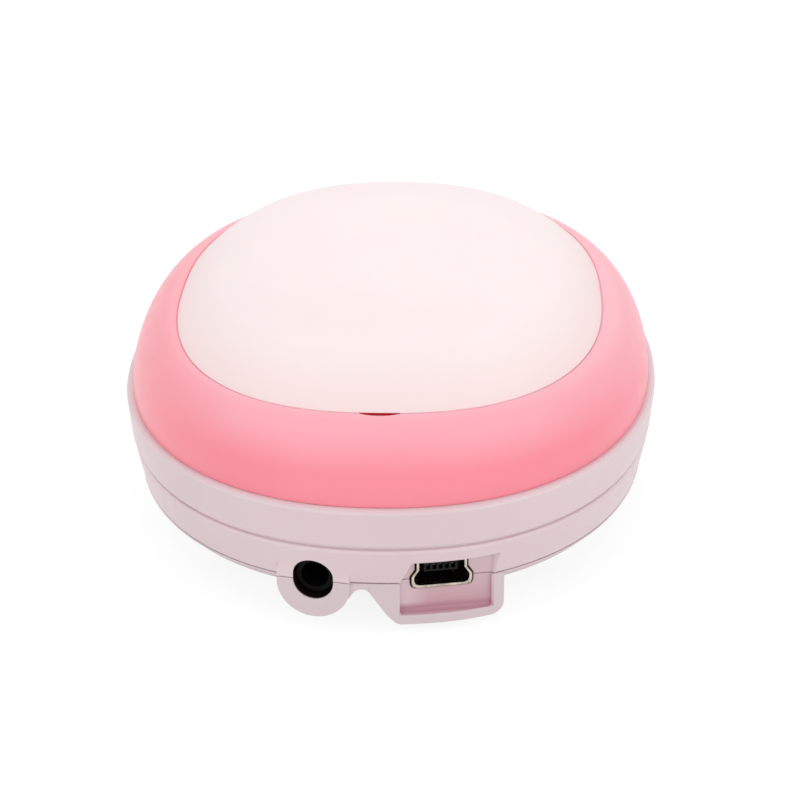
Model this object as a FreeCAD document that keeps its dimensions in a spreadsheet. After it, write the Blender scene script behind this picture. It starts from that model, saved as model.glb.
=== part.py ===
"""Pocket fetal doppler: a puck-shaped housing with a probe face underneath, a lift-off battery
cover on top, a headphone jack and a mini USB socket at the front, and a volume wheel at the back.

Frame: X to the right, Y to the back, Z up, in millimetres. The origin is the middle of the probe
face, on which the doppler rests. Front, back, left and right are those of a user who faces the
two sockets.
"""

import FreeCAD
import Part
import Sketcher
import math
import os
from FreeCAD import Rotation, Vector

SIZES = {
    # Housing: half sizes of the plan at the rim, and the heights of its seams.
    "rim_half_width": 36.95,
    "rim_half_depth": 44.15,
    "plan_power": 2.19,
    "seam_height": 7.2,
    "groove_height": 12.45,
    "rim_height": 18.4,
    "cover_height": 28.4,
    "bowl_height": 1.2,
    "bowl_margin": 1.6,
    "bowl_step": 0.5,
    "ring_inset": 0.95,
    "upper_band_draft": 0.4,
    "lower_band_inset": 0.65,
    "lower_band_draft": 0.9,
    "strip_height": 1.9,
    "strip_draft": 1.0,
    "groove_gap": 0.4,
    "seam_gap": 0.12,
    "upper_wall": 2.1,
    "lower_wall": 2.0,
    "deck_thickness": 1.8,
    "lip_thickness": 1.1,
    "lip_height": 0.95,
    "lip_clearance": 0.2,
    "edge_radius": 0.5,
    "strip_radius": 1.0,
    # Battery cover and the pink ring round it.
    "cover_inset_x": 7.8,
    "cover_inset_y": 7.2,
    "cover_power": 2.44,
    "cover_rise": 9.05,
    "crown_power": 3.4,
    "cover_wall": 1.8,
    "cover_edge": 1.5,
    "cover_lip_inset": 1.5,
    "cover_lip_depth": 1.9,
    "cover_lip_thickness": 1.2,
    "cover_gap": 0.18,
    "ring_wall": 1.9,
    "ring_edge": 0.35,
    "collar_thickness": 2.5,
    "collar_clearance": 0.15,
    "collar_gap": 0.36,
    "seat_clearance": 0.05,
    "notch_width": 5.2,
    "notch_depth": 0.55,
    "notch_drop": 1.0,
    "pad_length": 30.0,
    "pad_width": 18.0,
    # Screws that hold the three housing shells together.
    "screw_inset_x": 15.45,
    "screw_inset_y": 18.05,
    "screw_radius": 1.2,
    "screw_length": 9.8,
    "screw_clearance": 0.2,
    "thread_clearance": 0.04,
    "tip_clearance": 0.3,
    "head_radius": 2.5,
    "head_height": 1.6,
    "head_seat": 6.6,
    "head_clearance": 0.3,
    "head_wall": 1.1,
    "post_radius": 2.6,
    # Circuit board and the sockets that hang under its front edge.
    "board_height": 10.1,
    "board_thickness": 1.2,
    "board_clearance": 0.8,
    "board_front_inset": 7.65,
    "board_hole_clearance": 0.2,
    "socket_turn": 10.4,
    "socket_wall": 2.8,
    "jack_x": 8.4,
    "jack_height": 7.3,
    "jack_setback": 1.0,
    "jack_depth": 14.0,
    "jack_bore": 1.8,
    "jack_nose": 2.45,
    "nose_length": 2.3,
    "jack_width": 6.0,
    "jack_wall": 0.7,
    "jack_hole": 2.62,
    "jack_hole_spread": 0.35,
    "boss_radius": 4.76,
    "boss_drop": 0.8,
    "boss_proud": 0.1,
    "channel_clearance": 0.4,
    "usb_x": 8.0,
    "usb_height": 7.85,
    "usb_setback": 1.0,
    "usb_width": 7.7,
    "usb_top_width": 6.4,
    "usb_tall": 3.9,
    "usb_shoulder_top": 0.6,
    "usb_shoulder_low": 0.4,
    "usb_corner": 0.7,
    "usb_soften": 0.2,
    "usb_length": 9.2,
    "usb_sheet": 0.3,
    "usb_clearance": 0.25,
    "insert_length": 3.0,
    "insert_clearance": 0.04,
    "tongue_width": 4.3,
    "tongue_thickness": 1.3,
    "tongue_rise": 0.45,
    "tongue_setback": 0.9,
    "contact_count": 5,
    "contact_pitch": 0.8,
    "contact_width": 0.36,
    "contact_thickness": 0.3,
    "contact_setback": 0.6,
    "slot_width": 0.5,
    "slot_height": 0.8,
    "pocket_depth": 1.3,
    "pocket_left": 5.5,
    "pocket_right": 6.35,
    "pocket_flare": 1.5,
    "pocket_lean": 1.5,
    "pocket_top": 10.45,
    "pocket_floor": 2.45,
    "pocket_wall": 1.5,
    "pocket_radius": 0.5,
    "block_left": 2.2,
    "block_lean": 5.6,
    "block_right": 15.7,
    "block_bottom": 1.1,
    "block_radius": 1.6,
    "block_overlap": 4.0,
    "lip_break": 2.0,
    # Battery bay: a 9 volt block with its snap connector.
    "case_length": 46.0,
    "case_width": 26.5,
    "case_thickness": 17.5,
    "case_radius": 2.4,
    "case_front": 25.0,
    "terminal_height": 2.6,
    "terminal_spacing": 12.7,
    "stud_radius": 2.9,
    "socket_radius": 3.9,
    "snap_width": 25.6,
    "snap_depth": 6.0,
    "snap_tall": 12.6,
    "snap_clearance": 0.15,
    "bay_clearance": 0.45,
    "bay_back_clearance": 0.9,
    "tray_wall": 1.2,
    "tray_floor": 1.0,
    "tray_flange": 1.4,
    "tray_foot": 0.45,
    "foot_radius": 1.5,
    "foot_x": 11.0,
    "foot_y": 17.0,
    "lead_radius": 0.6,
    "lead_spacing": 8.0,
    "lead_clearance": 0.6,
    # Packages under the board.
    "processor_x": -18.0,
    "processor_y": -2.0,
    "processor_side": 8.0,
    "processor_height": 1.4,
    "amplifier_x": 16.0,
    "amplifier_y": -5.5,
    "amplifier_side": 5.5,
    "amplifier_height": 1.6,
    "clock_x": 18.0,
    "clock_y": 6.0,
    "clock_side": 4.0,
    "clock_height": 1.2,
    "capacitor_x": -12.0,
    "capacitor_y": 17.25,
    "capacitor_pitch": 6.5,
    "capacitor_radius": 2.5,
    "capacitor_height": 4.4,
    # Volume wheel, its potentiometer and the power lamp, at the back.
    "wheel_radius": 8.2,
    "wheel_thickness": 1.8,
    "wheel_inset": 8.25,
    "wheel_clearance": 0.4,
    "knurl_count": 36,
    "knurl_depth": 0.3,
    "knurl_width": 0.6,
    "shaft_radius": 1.5,
    "shaft_clearance": 0.05,
    "pot_radius": 3.2,
    "pot_height": 2.6,
    "pot_clearance": 0.4,
    "lamp_x": 13.0,
    "lamp_radius": 1.1,
    "lamp_clearance": 0.03,
    "lamp_length": 3.9,
    "lamp_edge": 0.35,
    "led_size": 2.0,
    "led_low": 8.3,
    # Probe: window, crystals, backing, screening can and leads.
    "probe_radius": 17.5,
    "probe_wall": 1.5,
    "probe_window": 2.0,
    "probe_edge": 0.8,
    "probe_edge_low": 0.24,
    "probe_clearance": 0.15,
    "flange_width": 1.9,
    "flange_thickness": 1.0,
    "floor_height": 3.0,
    "seal_thickness": 0.7,
    "crystal_radius": 11.0,
    "crystal_thickness": 1.0,
    "crystal_gap": 1.0,
    "backing_thickness": 2.0,
    "can_sheet": 0.4,
    "can_height": 3.6,
    "can_clearance": 0.2,
    "coax_radius": 0.8,
    "coax_y": 6.0,
    "coax_clearance": 0.3,
}

OUTLINE_POINTS = 24
RIM_STEPS = 2
SHOULDER_STEPS = 5
CROWN_STEPS = 6
INSIDE_STEPS = 3
BOWL_STEPS = 3
BOWL_BEND = 1.3
CROWN_TOP = 0.22
FINE_EDGE = 0.3
BEYOND = 60.0
PAST = 5.0
OVER = 1.0
NEAR = 0.1

document = FreeCAD.newDocument("fetal_doppler")
sub_parts = []


def make_sheet():
    """The spreadsheet that holds every driving dimension."""
    sheet = document.addObject("Spreadsheet::Sheet", "Sizes")
    for row, (alias, value) in enumerate(SIZES.items(), 1):
        sheet.set(f"A{row}", alias)
        sheet.set(f"B{row}", str(value))
        sheet.setAlias(f"B{row}", alias)
    document.recompute()
    return sheet


sheet = make_sheet()


def size(alias):
    """One driving dimension, read back from the spreadsheet."""
    return float(sheet.get(alias))


# ---------------------------------------------------------------- forms of the housing


def outline(half_width, half_depth, power, height):
    """A closed superellipse wire at one height."""
    points = []
    for step in range(OUTLINE_POINTS):
        angle = 2 * math.pi * step / OUTLINE_POINTS
        across = math.cos(angle)
        along = math.sin(angle)
        reach = (abs(across / half_width) ** power + abs(along / half_depth) ** power) ** (-1 / power)
        points.append(Vector(reach * across, reach * along, height))
    curve = Part.BSplineCurve()
    curve.interpolate(Points=points, PeriodicFlag=True)
    return Part.Wire([curve.toShape()])


def prism(plan, low, high):
    """An upright solid on a plan of (half width, half depth, power)."""
    return Part.makeLoft([outline(*plan, low), outline(*plan, high)], True, True)


def rim_outlines(plan, height, radius, side):
    """The outlines round one rim of a solid: side is -1 at its foot and 1 at its top."""
    steps = RIM_STEPS if radius > FINE_EDGE else 1
    rings = []
    for step in range(steps + 1):
        angle = math.pi / 2 * step / steps
        inset = radius * (1 - math.sin(angle))
        rings.append(outline(*grown(plan, -inset), height - side * radius * (1 - math.cos(angle))))
    return rings if side < 0 else rings[::-1]


def rounded(lower, low, upper, high, low_radius, high_radius):
    """A tapering solid between two plans whose lower and upper rims are rounded."""
    foot = rim_outlines(lower, low, low_radius, -1)
    top = rim_outlines(upper, high, high_radius, 1)
    return Part.makeLoft(foot + top, True, True)


def dish(lower, low, upper, high):
    """A solid that widens upwards like a shallow bowl, steeper towards its rim."""
    sections = []
    for step in range(BOWL_STEPS + 1):
        share = step / BOWL_STEPS
        plan = [inner + share * (outer - inner) for inner, outer in zip(lower, upper)]
        sections.append(outline(*plan, low + (high - low) * share**BOWL_BEND))
    return Part.makeLoft(sections, True, True)


def grown(plan, distance):
    """The same plan, larger all round by a distance."""
    return (plan[0] + distance, plan[1] + distance, plan[2])


def hoop(plan, thickness, low, high):
    """An upright wall inside a plan."""
    return prism(plan, low, high).cut(prism(grown(plan, -thickness), low, high))


def shoulder(foot, crest, low, high, steps):
    """A solid whose side turns in a quarter ellipse from the foot plan to the crest plan."""
    edge = size("ring_edge")
    sections = [outline(*grown(foot, -edge), low)]
    for step in range(steps + 1):
        angle = math.pi / 2 * step / steps
        plan = [top + (base - top) * math.cos(angle) for base, top in zip(foot, crest)]
        sections.append(outline(*plan, low + edge + (high - low - edge) * math.sin(angle)))
    return Part.makeLoft(sections, True, True)


def crown(plan, bottom, edge, rise, steps):
    """An upright solid from its bottom to its edge, with a dome that rises from there in rings."""
    half_width, half_depth, power = plan
    bend = size("crown_power")
    sections = [outline(*plan, bottom)]
    for step in range(steps + 1):
        share = 1 - (1 - CROWN_TOP) * step / steps
        height = edge + rise * (1 - share**bend) / (1 - CROWN_TOP**bend)
        sections.append(outline(share * half_width, share * half_depth, power, height))
    return Part.makeLoft(sections, True, True)


def box(left, right, front, back, low, high):
    """A plain block between six planes."""
    return Part.makeBox(right - left, back - front, high - low, Vector(left, front, low))


def upright(x, y, radius, low, high):
    """A cylinder along Z."""
    return Part.makeCylinder(radius, high - low, Vector(x, y, low))


def lying(x, z, radius, front, back):
    """A cylinder along Y."""
    return Part.makeCylinder(radius, back - front, Vector(x, front, z), Vector(0, 1, 0))


def prism_along_y(corners, front, back):
    """An outline of (x, z) corners, drawn from front to back."""
    points = [Vector(x, front, z) for x, z in corners]
    face = Part.Face(Part.makePolygon(points + points[:1]))
    return face.extrude(Vector(0, back - front, 0))


def prism_along_z(corners, low, high):
    """An outline of (x, y) corners, drawn from low to high."""
    points = [Vector(x, y, low) for x, y in corners]
    face = Part.Face(Part.makePolygon(points + points[:1]))
    return face.extrude(Vector(0, 0, high - low))


def keep(label, shape):
    """Adds a sub-part whose shape the code has made."""
    feature = document.addObject("Part::Feature", label)
    feature.Label = label
    feature.Shape = shape
    feature.Placement = FreeCAD.Placement()
    sub_parts.append(feature)
    return feature


# ---------------------------------------------------------------- plans and shared places

plan_power = size("plan_power")
rim_plan = (size("rim_half_width"), size("rim_half_depth"), plan_power)
foot_plan = grown(rim_plan, -size("ring_inset"))
upper_plan = grown(rim_plan, -size("upper_band_draft"))
lower_plan = grown(rim_plan, -size("lower_band_inset"))
seam_plan = grown(lower_plan, -size("lower_band_draft"))
strip_plan = grown(seam_plan, -size("strip_draft"))
inner_plan = grown(seam_plan, -size("lower_wall"))
cover_width = rim_plan[0] - size("cover_inset_x")
cover_depth = rim_plan[1] - size("cover_inset_y")
cover_plan = (cover_width, cover_depth, size("cover_power"))
cover_lip_plan = grown(cover_plan, -size("cover_lip_inset"))
opening_plan = grown(cover_lip_plan, size("collar_clearance"))
collar_plan = grown(opening_plan, size("collar_thickness"))
bowl_radius = size("probe_radius") + size("flange_width") + size("bowl_margin")
bowl_plan = (bowl_radius, bowl_radius * rim_plan[1] / rim_plan[0], plan_power)

seam = size("seam_height")
groove = size("groove_height")
rim = size("rim_height")
cover_seam = size("cover_height")
cover_seat = cover_seam - size("cover_edge")
deck = rim - size("deck_thickness")
board = size("board_height")
board_top = board + size("board_thickness")
jack_z = size("jack_height")
usb_z = size("usb_height")
wheel_y = size("rim_half_depth") - size("wheel_inset")
wheel_low = seam + size("wheel_clearance")
wheel_top = wheel_low + size("wheel_thickness")
lamp_z = (wheel_low + wheel_top) / 2
tray_bottom = board_top + size("tray_foot")
bay_floor = tray_bottom + size("tray_floor")
case_back = size("case_length") - size("case_front")
snap_front = case_back + size("snap_clearance")
snap_back = snap_front + size("snap_depth")
lead_y = snap_front + size("snap_depth") / 2
case_low = bay_floor + size("snap_clearance") / 2
case_middle = case_low + size("case_thickness") / 2
screw_x = size("rim_half_width") - size("screw_inset_x")
screw_y = size("rim_half_depth") - size("screw_inset_y")
screw_places = [(x * screw_x, y * screw_y) for x in (-1, 1) for y in (-1, 1)]


def edge_of(plan, x):
    """How far the outline of a plan is from the X axis at one x."""
    half_width, half_depth, power = plan
    return half_depth * (1 - (abs(x) / half_width) ** power) ** (1 / power)


def socket_frame(x, turn):
    """The place of a socket: its origin is on the housing's side, its +Y points straight inwards."""
    return FreeCAD.Placement(Vector(x, -edge_of(seam_plan, x), 0), Rotation(Vector(0, 0, 1), turn))


jack_frame = socket_frame(-size("jack_x"), -size("socket_turn"))
usb_frame = socket_frame(size("usb_x"), size("socket_turn"))


def placed(shape, frame):
    """A shape drawn in a socket's frame, moved to its place."""
    moved = shape.copy()
    moved.Placement = frame.multiply(moved.Placement)
    return moved


def usb_profile(growth):
    """The mini USB outline, narrow side up, as (x, z) corners grown all round."""
    half = size("usb_width") / 2 + growth
    top_half = size("usb_top_width") / 2 + growth
    tall = size("usb_tall") / 2
    corner = size("usb_corner")
    soften = size("usb_soften")
    bottom = usb_z - tall - growth
    right = [
        (top_half, usb_z + tall + growth),
        (top_half, usb_z + size("usb_shoulder_top")),
        (half, usb_z - size("usb_shoulder_low")),
        (half, bottom + corner),
        (half - soften, bottom + soften),
        (half - corner, bottom),
    ]
    left = [(-x, z) for x, z in reversed(right)]
    return right + left


# ---------------------------------------------------------------- housing shells


def cover_hollow(clearance):
    """The room inside the battery cover, smaller at its top by a clearance."""
    plan = grown(cover_lip_plan, -size("cover_lip_thickness"))
    rise = size("cover_rise")
    share = plan[0] / cover_plan[0]
    climb = rise * (1 - share ** size("crown_power"))
    edge = cover_seam + climb - size("cover_wall") - clearance
    return crown(plan, cover_seat - size("cover_lip_depth") - OVER, edge, rise - climb, INSIDE_STEPS)


def make_battery_cover():
    """The white dome: a crowned cap whose lip drops inside the collar of the top shell."""
    body = crown(cover_plan, cover_seat, cover_seam, size("cover_rise"), CROWN_STEPS)
    body = body.fuse(prism(cover_lip_plan, cover_seat - size("cover_lip_depth"), cover_seat))
    keep("battery_cover", body.cut(cover_hollow(0)))


def make_foam_pad():
    """The foam under the cover that keeps the battery from rattling."""
    low = case_low + size("case_thickness") + size("snap_clearance")
    half_width = size("pad_width") / 2
    half_length = size("pad_length") / 2
    block = box(-half_width, half_width, -half_length, half_length, low, low + BEYOND)
    keep("battery_foam_pad", block.common(cover_hollow(size("seat_clearance"))))


def make_trim_ring():
    """The pink ring: a hollow shoulder from the rim to the cover, with a pry notch at the front."""
    gap = size("cover_gap")
    inside_foot = grown(foot_plan, -size("ring_wall"))
    inside_crest = grown(collar_plan, size("collar_gap"))
    body = shoulder(foot_plan, cover_plan, rim, cover_seam, SHOULDER_STEPS)
    body = body.cut(shoulder(inside_foot, inside_crest, rim, cover_seat, INSIDE_STEPS))
    body = body.cut(prism(grown(cover_plan, gap), rim, cover_seam + OVER))
    half = size("notch_width") / 2
    depth = size("notch_depth")
    radius = (half**2 + depth**2) / (2 * depth)
    middle = -(cover_plan[1] + gap) - depth + radius
    notch = upright(0, middle, radius, cover_seam - size("notch_drop"), cover_seam + OVER)
    keep("trim_ring", body.cut(notch))


def make_top_shell():
    """The upper white shell: band, deck under the ring, collar round the battery opening, posts."""
    shoulder_low = groove + size("groove_gap")
    lip_plan = grown(inner_plan, -size("lip_clearance"))
    lip_inner = grown(lip_plan, -size("lip_thickness"))
    wall_plan = grown(rim_plan, -size("upper_wall"))
    body = rounded(upper_plan, shoulder_low, rim_plan, rim, size("edge_radius"), size("edge_radius"))
    body = body.fuse(prism(grown(lower_plan, -size("groove_gap")), groove, shoulder_low + OVER))
    body = body.fuse(prism(lip_plan, groove - size("lip_height"), groove))
    body = body.cut(prism(lip_inner, 0, shoulder_low + OVER))
    body = body.cut(prism(wall_plan, shoulder_low + OVER, deck))
    body = body.fuse(prism(collar_plan, deck + OVER, cover_seat - size("seat_clearance")))
    body = body.cut(prism(opening_plan, deck - OVER, cover_seat))
    for x, y in screw_places:
        body = body.fuse(upright(x, y, size("post_radius"), board_top, deck + OVER))
    pilot = size("screw_radius") + size("thread_clearance")
    pilot_end = size("head_seat") + size("screw_length") + size("tip_clearance")
    for x, y in screw_places:
        body = body.cut(upright(x, y, pilot, board_top, pilot_end))
    keep("top_shell", body)


def obround(radius, middle, spread, front, back):
    """An upright slot with round ends, drawn along Y."""
    lower = lying(0, middle - spread, radius, front, back)
    upper = lying(0, middle + spread, radius, front, back)
    return lower.fuse([upper, box(-radius, radius, front, back, middle - spread, middle + spread)])


def jack_boss(low, high, depth):
    """The boss on the jack's axis, with a flat front, between two heights."""
    drop = size("boss_drop") / 2
    boss = obround(size("boss_radius"), jack_z - drop, drop, -size("boss_proud"), depth)
    return placed(boss, jack_frame).common(box(-BEYOND, BEYOND, -BEYOND, BEYOND, low, high))


def socket_holes():
    """The holes through the front wall for the jack's nose and for the USB socket."""
    depth = size("socket_wall") + 1
    jack_hole = obround(size("jack_hole"), jack_z, size("jack_hole_spread"), -PAST, depth)
    usb_hole = prism_along_y(usb_profile(size("usb_clearance")), -PAST, depth)
    return placed(jack_hole, jack_frame).fuse(placed(usb_hole, usb_frame))


def make_mid_shell():
    """The lower white band, with the upper halves of the socket openings, the wheel slot and lamp hole."""
    body = rounded(seam_plan, seam, lower_plan, groove, size("seam_gap"), size("edge_radius"))
    outside = body.copy()
    body = body.cut(prism(inner_plan, seam - OVER, groove + OVER))
    wall = size("pocket_wall")
    left = -size("pocket_left") - wall
    right = size("pocket_right") + wall
    backing = box(left, right, -BEYOND, size("socket_wall"), seam, size("pocket_top") + wall)
    body = body.fuse(placed(backing, usb_frame).common(outside))
    body = body.fuse(jack_boss(seam, BEYOND, size("socket_wall")))
    lip_room = groove - size("lip_height") - size("lip_clearance")
    body = body.cut(prism(inner_plan, lip_room, groove + OVER))
    body = body.cut(socket_holes())
    body = body.cut(upper_pocket())
    body = body.cut(wheel_slot())
    lamp = size("lamp_radius") + size("lamp_clearance")
    body = body.cut(lying(size("lamp_x"), lamp_z, lamp, 0, BEYOND))
    keep("mid_shell", body)


def upper_pocket():
    """The part of the socket's pocket above the seam: it leans in at the left and flares at the right."""
    left = -size("pocket_left")
    right = size("pocket_right")
    depth = size("pocket_depth")
    flare = size("pocket_flare")
    top = size("pocket_top")
    low = seam - OVER
    wide = right + flare * (depth + PAST) / depth
    plan = [(left, -PAST), (wide, -PAST), (right, depth), (left, depth)]
    leaning = [(left, seam), (left + size("pocket_lean"), top)]
    elevation = [(left, low), *leaning, (BEYOND, top), (BEYOND, low)]
    pocket = prism_along_z(plan, low, top).common(prism_along_y(elevation, -PAST, depth))
    return placed(pocket, usb_frame)


def wheel_slot():
    """The slot at the back for the volume wheel."""
    gap = size("wheel_clearance")
    return upright(0, wheel_y, size("wheel_radius") + gap, seam - OVER, wheel_top + gap)


def make_bottom_shell():
    """The base: a thin strip, a shallow bowl down to the probe, the jack's boss and the socket's block."""
    top = seam - size("seam_gap")
    edge = seam - size("strip_height")
    floor = size("floor_height")
    body = rounded(strip_plan, edge, seam_plan, top, size("strip_radius"), size("seam_gap"))
    rim_of_bowl = grown(strip_plan, -size("strip_radius"))
    body = body.fuse(dish(bowl_plan, size("bowl_height"), rim_of_bowl, edge))
    outside = body.copy()
    body = body.fuse(jack_boss(0, top, size("rim_half_depth") - bowl_radius))
    body = body.fuse(socket_block(top))
    body = body.cut(dish(grown(bowl_plan, -size("bowl_step")), floor, inner_plan, seam))
    body = body.fuse(bottom_lip())
    well = size("head_radius") + size("head_clearance")
    for x, y in screw_places:
        body = body.fuse(upright(x, y, well + size("head_wall"), 0, top).common(outside))
        body = body.fuse(upright(x, y, size("post_radius"), size("head_seat"), board))
    body = body.cut(lower_pocket(top))
    body = body.cut(socket_holes())
    body = body.cut(socket_channels())
    mouth = size("probe_radius") + size("probe_clearance")
    body = body.cut(upright(0, 0, mouth, -OVER, floor + OVER))
    for x, y in screw_places:
        body = body.cut(upright(x, y, well, 0, size("head_seat")))
        body = body.cut(upright(x, y, size("screw_radius") + size("screw_clearance"), 0, board))
    keep("bottom_shell", body)


def socket_block(top):
    """The block that hangs below the seam round the USB socket, its face in line with the strip."""
    left = size("block_left")
    bottom = size("block_bottom")
    corners = [
        (left - size("block_lean"), top),
        (size("block_right"), top),
        (size("block_right"), bottom),
        (left, bottom),
    ]
    block = prism_along_y(corners, -BEYOND, size("block_overlap") - bowl_plan[1])
    lowest = []
    for edge in block.Edges:
        bounds = edge.BoundBox
        if bounds.YLength > OVER and bounds.ZMax < bottom + NEAR:
            lowest.append(edge)
    block = block.makeFillet(size("block_radius"), lowest)
    return block.common(prism(seam_plan, 0, top))


def lower_pocket(top):
    """The part of the socket's pocket below the seam."""
    floor = size("pocket_floor")
    depth = size("pocket_depth")
    pocket = box(-size("pocket_left"), size("pocket_right"), -PAST, depth, floor, top + OVER)
    inner = []
    for edge in pocket.Edges:
        bounds = edge.BoundBox
        if bounds.ZMax < floor + NEAR and bounds.YMax > depth - NEAR:
            inner.append(edge)
    return placed(pocket.makeFillet(size("pocket_radius"), inner), usb_frame)


def socket_channels():
    """The room behind the front wall for the bodies of the jack and of the USB socket."""
    gap = size("channel_clearance")
    front = size("socket_wall")
    jack_half = size("jack_width") / 2 + gap
    jack_low = jack_z - size("jack_bore") - size("jack_wall") - gap
    jack_back = size("jack_setback") + size("jack_depth") + size("jack_wall") + gap
    usb_half = size("usb_width") / 2 + gap
    usb_low = usb_z - size("usb_tall") / 2 - gap
    usb_back = size("usb_setback") + size("usb_length") + gap
    jack_room = box(-jack_half, jack_half, front, jack_back, jack_low, board)
    usb_room = box(-usb_half, usb_half, front, usb_back, usb_low, board)
    return placed(jack_room, jack_frame).fuse(placed(usb_room, usb_frame))


def bottom_lip():
    """The lip that stands up inside the lower band, left out at the sockets and at the wheel."""
    lip_plan = grown(inner_plan, -size("lip_clearance"))
    lip = hoop(lip_plan, size("lip_thickness"), seam - size("strip_height"), seam + size("lip_height"))
    half = size("block_right") + size("lip_break")
    return lip.cut(box(-half, half, -BEYOND, BEYOND, seam - size("seam_gap"), BEYOND))


# ---------------------------------------------------------------- circuit board and sockets


def make_main_board():
    """The circuit board, held between the posts of the base and of the top shell."""
    plan = grown(inner_plan, -size("board_clearance"))
    body = prism(plan, board, board_top)
    front = size("board_front_inset") - size("rim_half_depth")
    body = body.cut(box(-BEYOND, BEYOND, -BEYOND, front, board - OVER, board_top + OVER))
    for x, y in screw_places:
        body = body.cut(upright(x, y, size("screw_radius") + size("screw_clearance"), board, board_top))
    shaft = size("shaft_radius") + size("board_hole_clearance")
    body = body.cut(upright(0, wheel_y, shaft, board, board_top))
    keep("main_board", body)


def make_battery_tray():
    """The well for the battery, hung under the deck by a flange and resting on the board by four feet."""
    wall = size("tray_wall")
    room = size("bay_clearance")
    half = size("case_width") / 2 + room
    front = -size("case_front") - room
    back = snap_back + size("bay_back_clearance")
    body = prism(collar_plan, deck - size("tray_flange"), deck)
    body = body.fuse(box(-half - wall, half + wall, front - wall, back + wall, tray_bottom, deck))
    body = body.cut(box(-half, half, front, back, bay_floor, deck))
    for x, y in screw_places:
        body = body.cut(upright(x, y, size("post_radius") + size("channel_clearance"), bay_floor, deck))
    for x in (-size("foot_x"), size("foot_x")):
        for y in (-size("foot_y"), size("foot_y")):
            body = body.fuse(upright(x, y, size("foot_radius"), board_top, tray_bottom))
    gap = size("pot_clearance")
    pot_top = board_top + size("pot_height")
    body = body.cut(upright(0, wheel_y, size("pot_radius") + gap, board_top, pot_top + gap))
    margin = size("lead_radius") + size("lead_clearance")
    slot = size("lead_spacing") / 2 + margin
    body = body.cut(box(-slot, slot, lead_y - margin, back, tray_bottom - OVER, bay_floor + OVER))
    keep("battery_tray", body)


# ---------------------------------------------------------------- pieces drawn as bodies and primitives


def add_body(label, placement):
    """An empty body with its place in the housing."""
    body = document.addObject("PartDesign::Body", label)
    body.Label = label
    body.Placement = placement
    sub_parts.append(body)
    return body


def at(x, y, z):
    """A place without any turn."""
    return FreeCAD.Placement(Vector(x, y, z), Rotation())


def new_sketch(body, name, plane, offset):
    """An empty sketch on one of the body's origin planes, moved along the plane's normal."""
    sketch = body.newObject("Sketcher::SketchObject", name)
    origin = next(item for item in body.Origin.OriginFeatures if item.Role == plane)
    sketch.AttachmentSupport = (origin, "")
    sketch.MapMode = "FlatFace"
    sketch.setExpression("AttachmentOffset.Base.z", offset)
    return sketch


def fix_point(sketch, line, point, x, y):
    """Ties one point of a sketch to two expressions, measured from the sketch's origin."""
    for kind, axis, text in (("DistanceX", -2, x), ("DistanceY", -1, y)):
        value = float(sketch.evalExpression(text))
        if value == 0:
            sketch.addConstraint(Sketcher.Constraint("PointOnObject", line, point, axis))
        else:
            index = sketch.addConstraint(Sketcher.Constraint(kind, -1, 1, line, point, value))
            sketch.setExpression(f"Constraints[{index}]", text)


def polygon(body, name, plane, corners, offset="0"):
    """A closed sketch through corners given as pairs of expressions."""
    sketch = new_sketch(body, name, plane, offset)
    points = [Vector(*(float(sketch.evalExpression(text)) for text in corner), 0) for corner in corners]
    count = len(points)
    for index, point in enumerate(points):
        sketch.addGeometry(Part.LineSegment(point, points[(index + 1) % count]))
    for index in range(count):
        sketch.addConstraint(Sketcher.Constraint("Coincident", index, 2, (index + 1) % count, 1))
    for index, corner in enumerate(corners):
        fix_point(sketch, index, 1, *corner)
    return sketch


def rectangle(body, name, plane, left, right, low, high, offset="0"):
    """A rectangle between four expressions."""
    return polygon(body, name, plane, [(left, low), (right, low), (right, high), (left, high)], offset)


def circle(body, name, plane, x, y, radius, offset="0"):
    """A circle whose centre and radius are expressions."""
    sketch = new_sketch(body, name, plane, offset)
    centre = Vector(float(sketch.evalExpression(x)), float(sketch.evalExpression(y)), 0)
    sketch.addGeometry(Part.Circle(centre, Vector(0, 0, 1), float(sketch.evalExpression(radius))))
    fix_point(sketch, 0, 3, x, y)
    index = sketch.addConstraint(Sketcher.Constraint("Radius", 0, float(sketch.evalExpression(radius))))
    sketch.setExpression(f"Constraints[{index}]", radius)
    return sketch


def pad(body, name, sketch, length, reverse=False):
    """A pad along the sketch's normal, or against it."""
    feature = body.newObject("PartDesign::Pad", name)
    feature.Profile = sketch
    feature.setExpression("Length", length)
    feature.Reversed = reverse
    document.recompute()
    return feature


def pocket(body, name, sketch, length, reverse=False):
    """A pocket against the sketch's normal, or along it."""
    feature = body.newObject("PartDesign::Pocket", name)
    feature.Profile = sketch
    feature.setExpression("Length", length)
    feature.Reversed = reverse
    document.recompute()
    return feature


def turned(body, name, sketch):
    """A full turn of the sketch about the body's Z axis."""
    feature = body.newObject("PartDesign::Revolution", name)
    feature.Profile = sketch
    feature.ReferenceAxis = (sketch, ["V_Axis"])
    feature.Angle = 360
    document.recompute()
    return feature


def round_edges(body, name, base, radius, chosen):
    """A fillet on the edges of a feature that a test picks out."""
    names = [f"Edge{index}" for index, edge in enumerate(base.Shape.Edges, 1) if chosen(edge.BoundBox)]
    feature = body.newObject("PartDesign::Fillet", name)
    feature.Base = (base, names)
    feature.setExpression("Radius", radius)
    document.recompute()
    return feature


def rod(name, x, y, low, high, radius):
    """A cylinder along Z between two heights; every value is an expression."""
    item = document.addObject("Part::Cylinder", name)
    item.Label = name
    item.setExpression("Radius", radius)
    item.setExpression("Height", f"({high}) - ({low})")
    item.setExpression("Placement.Base.x", x)
    item.setExpression("Placement.Base.y", y)
    item.setExpression("Placement.Base.z", low)
    return item


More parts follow.
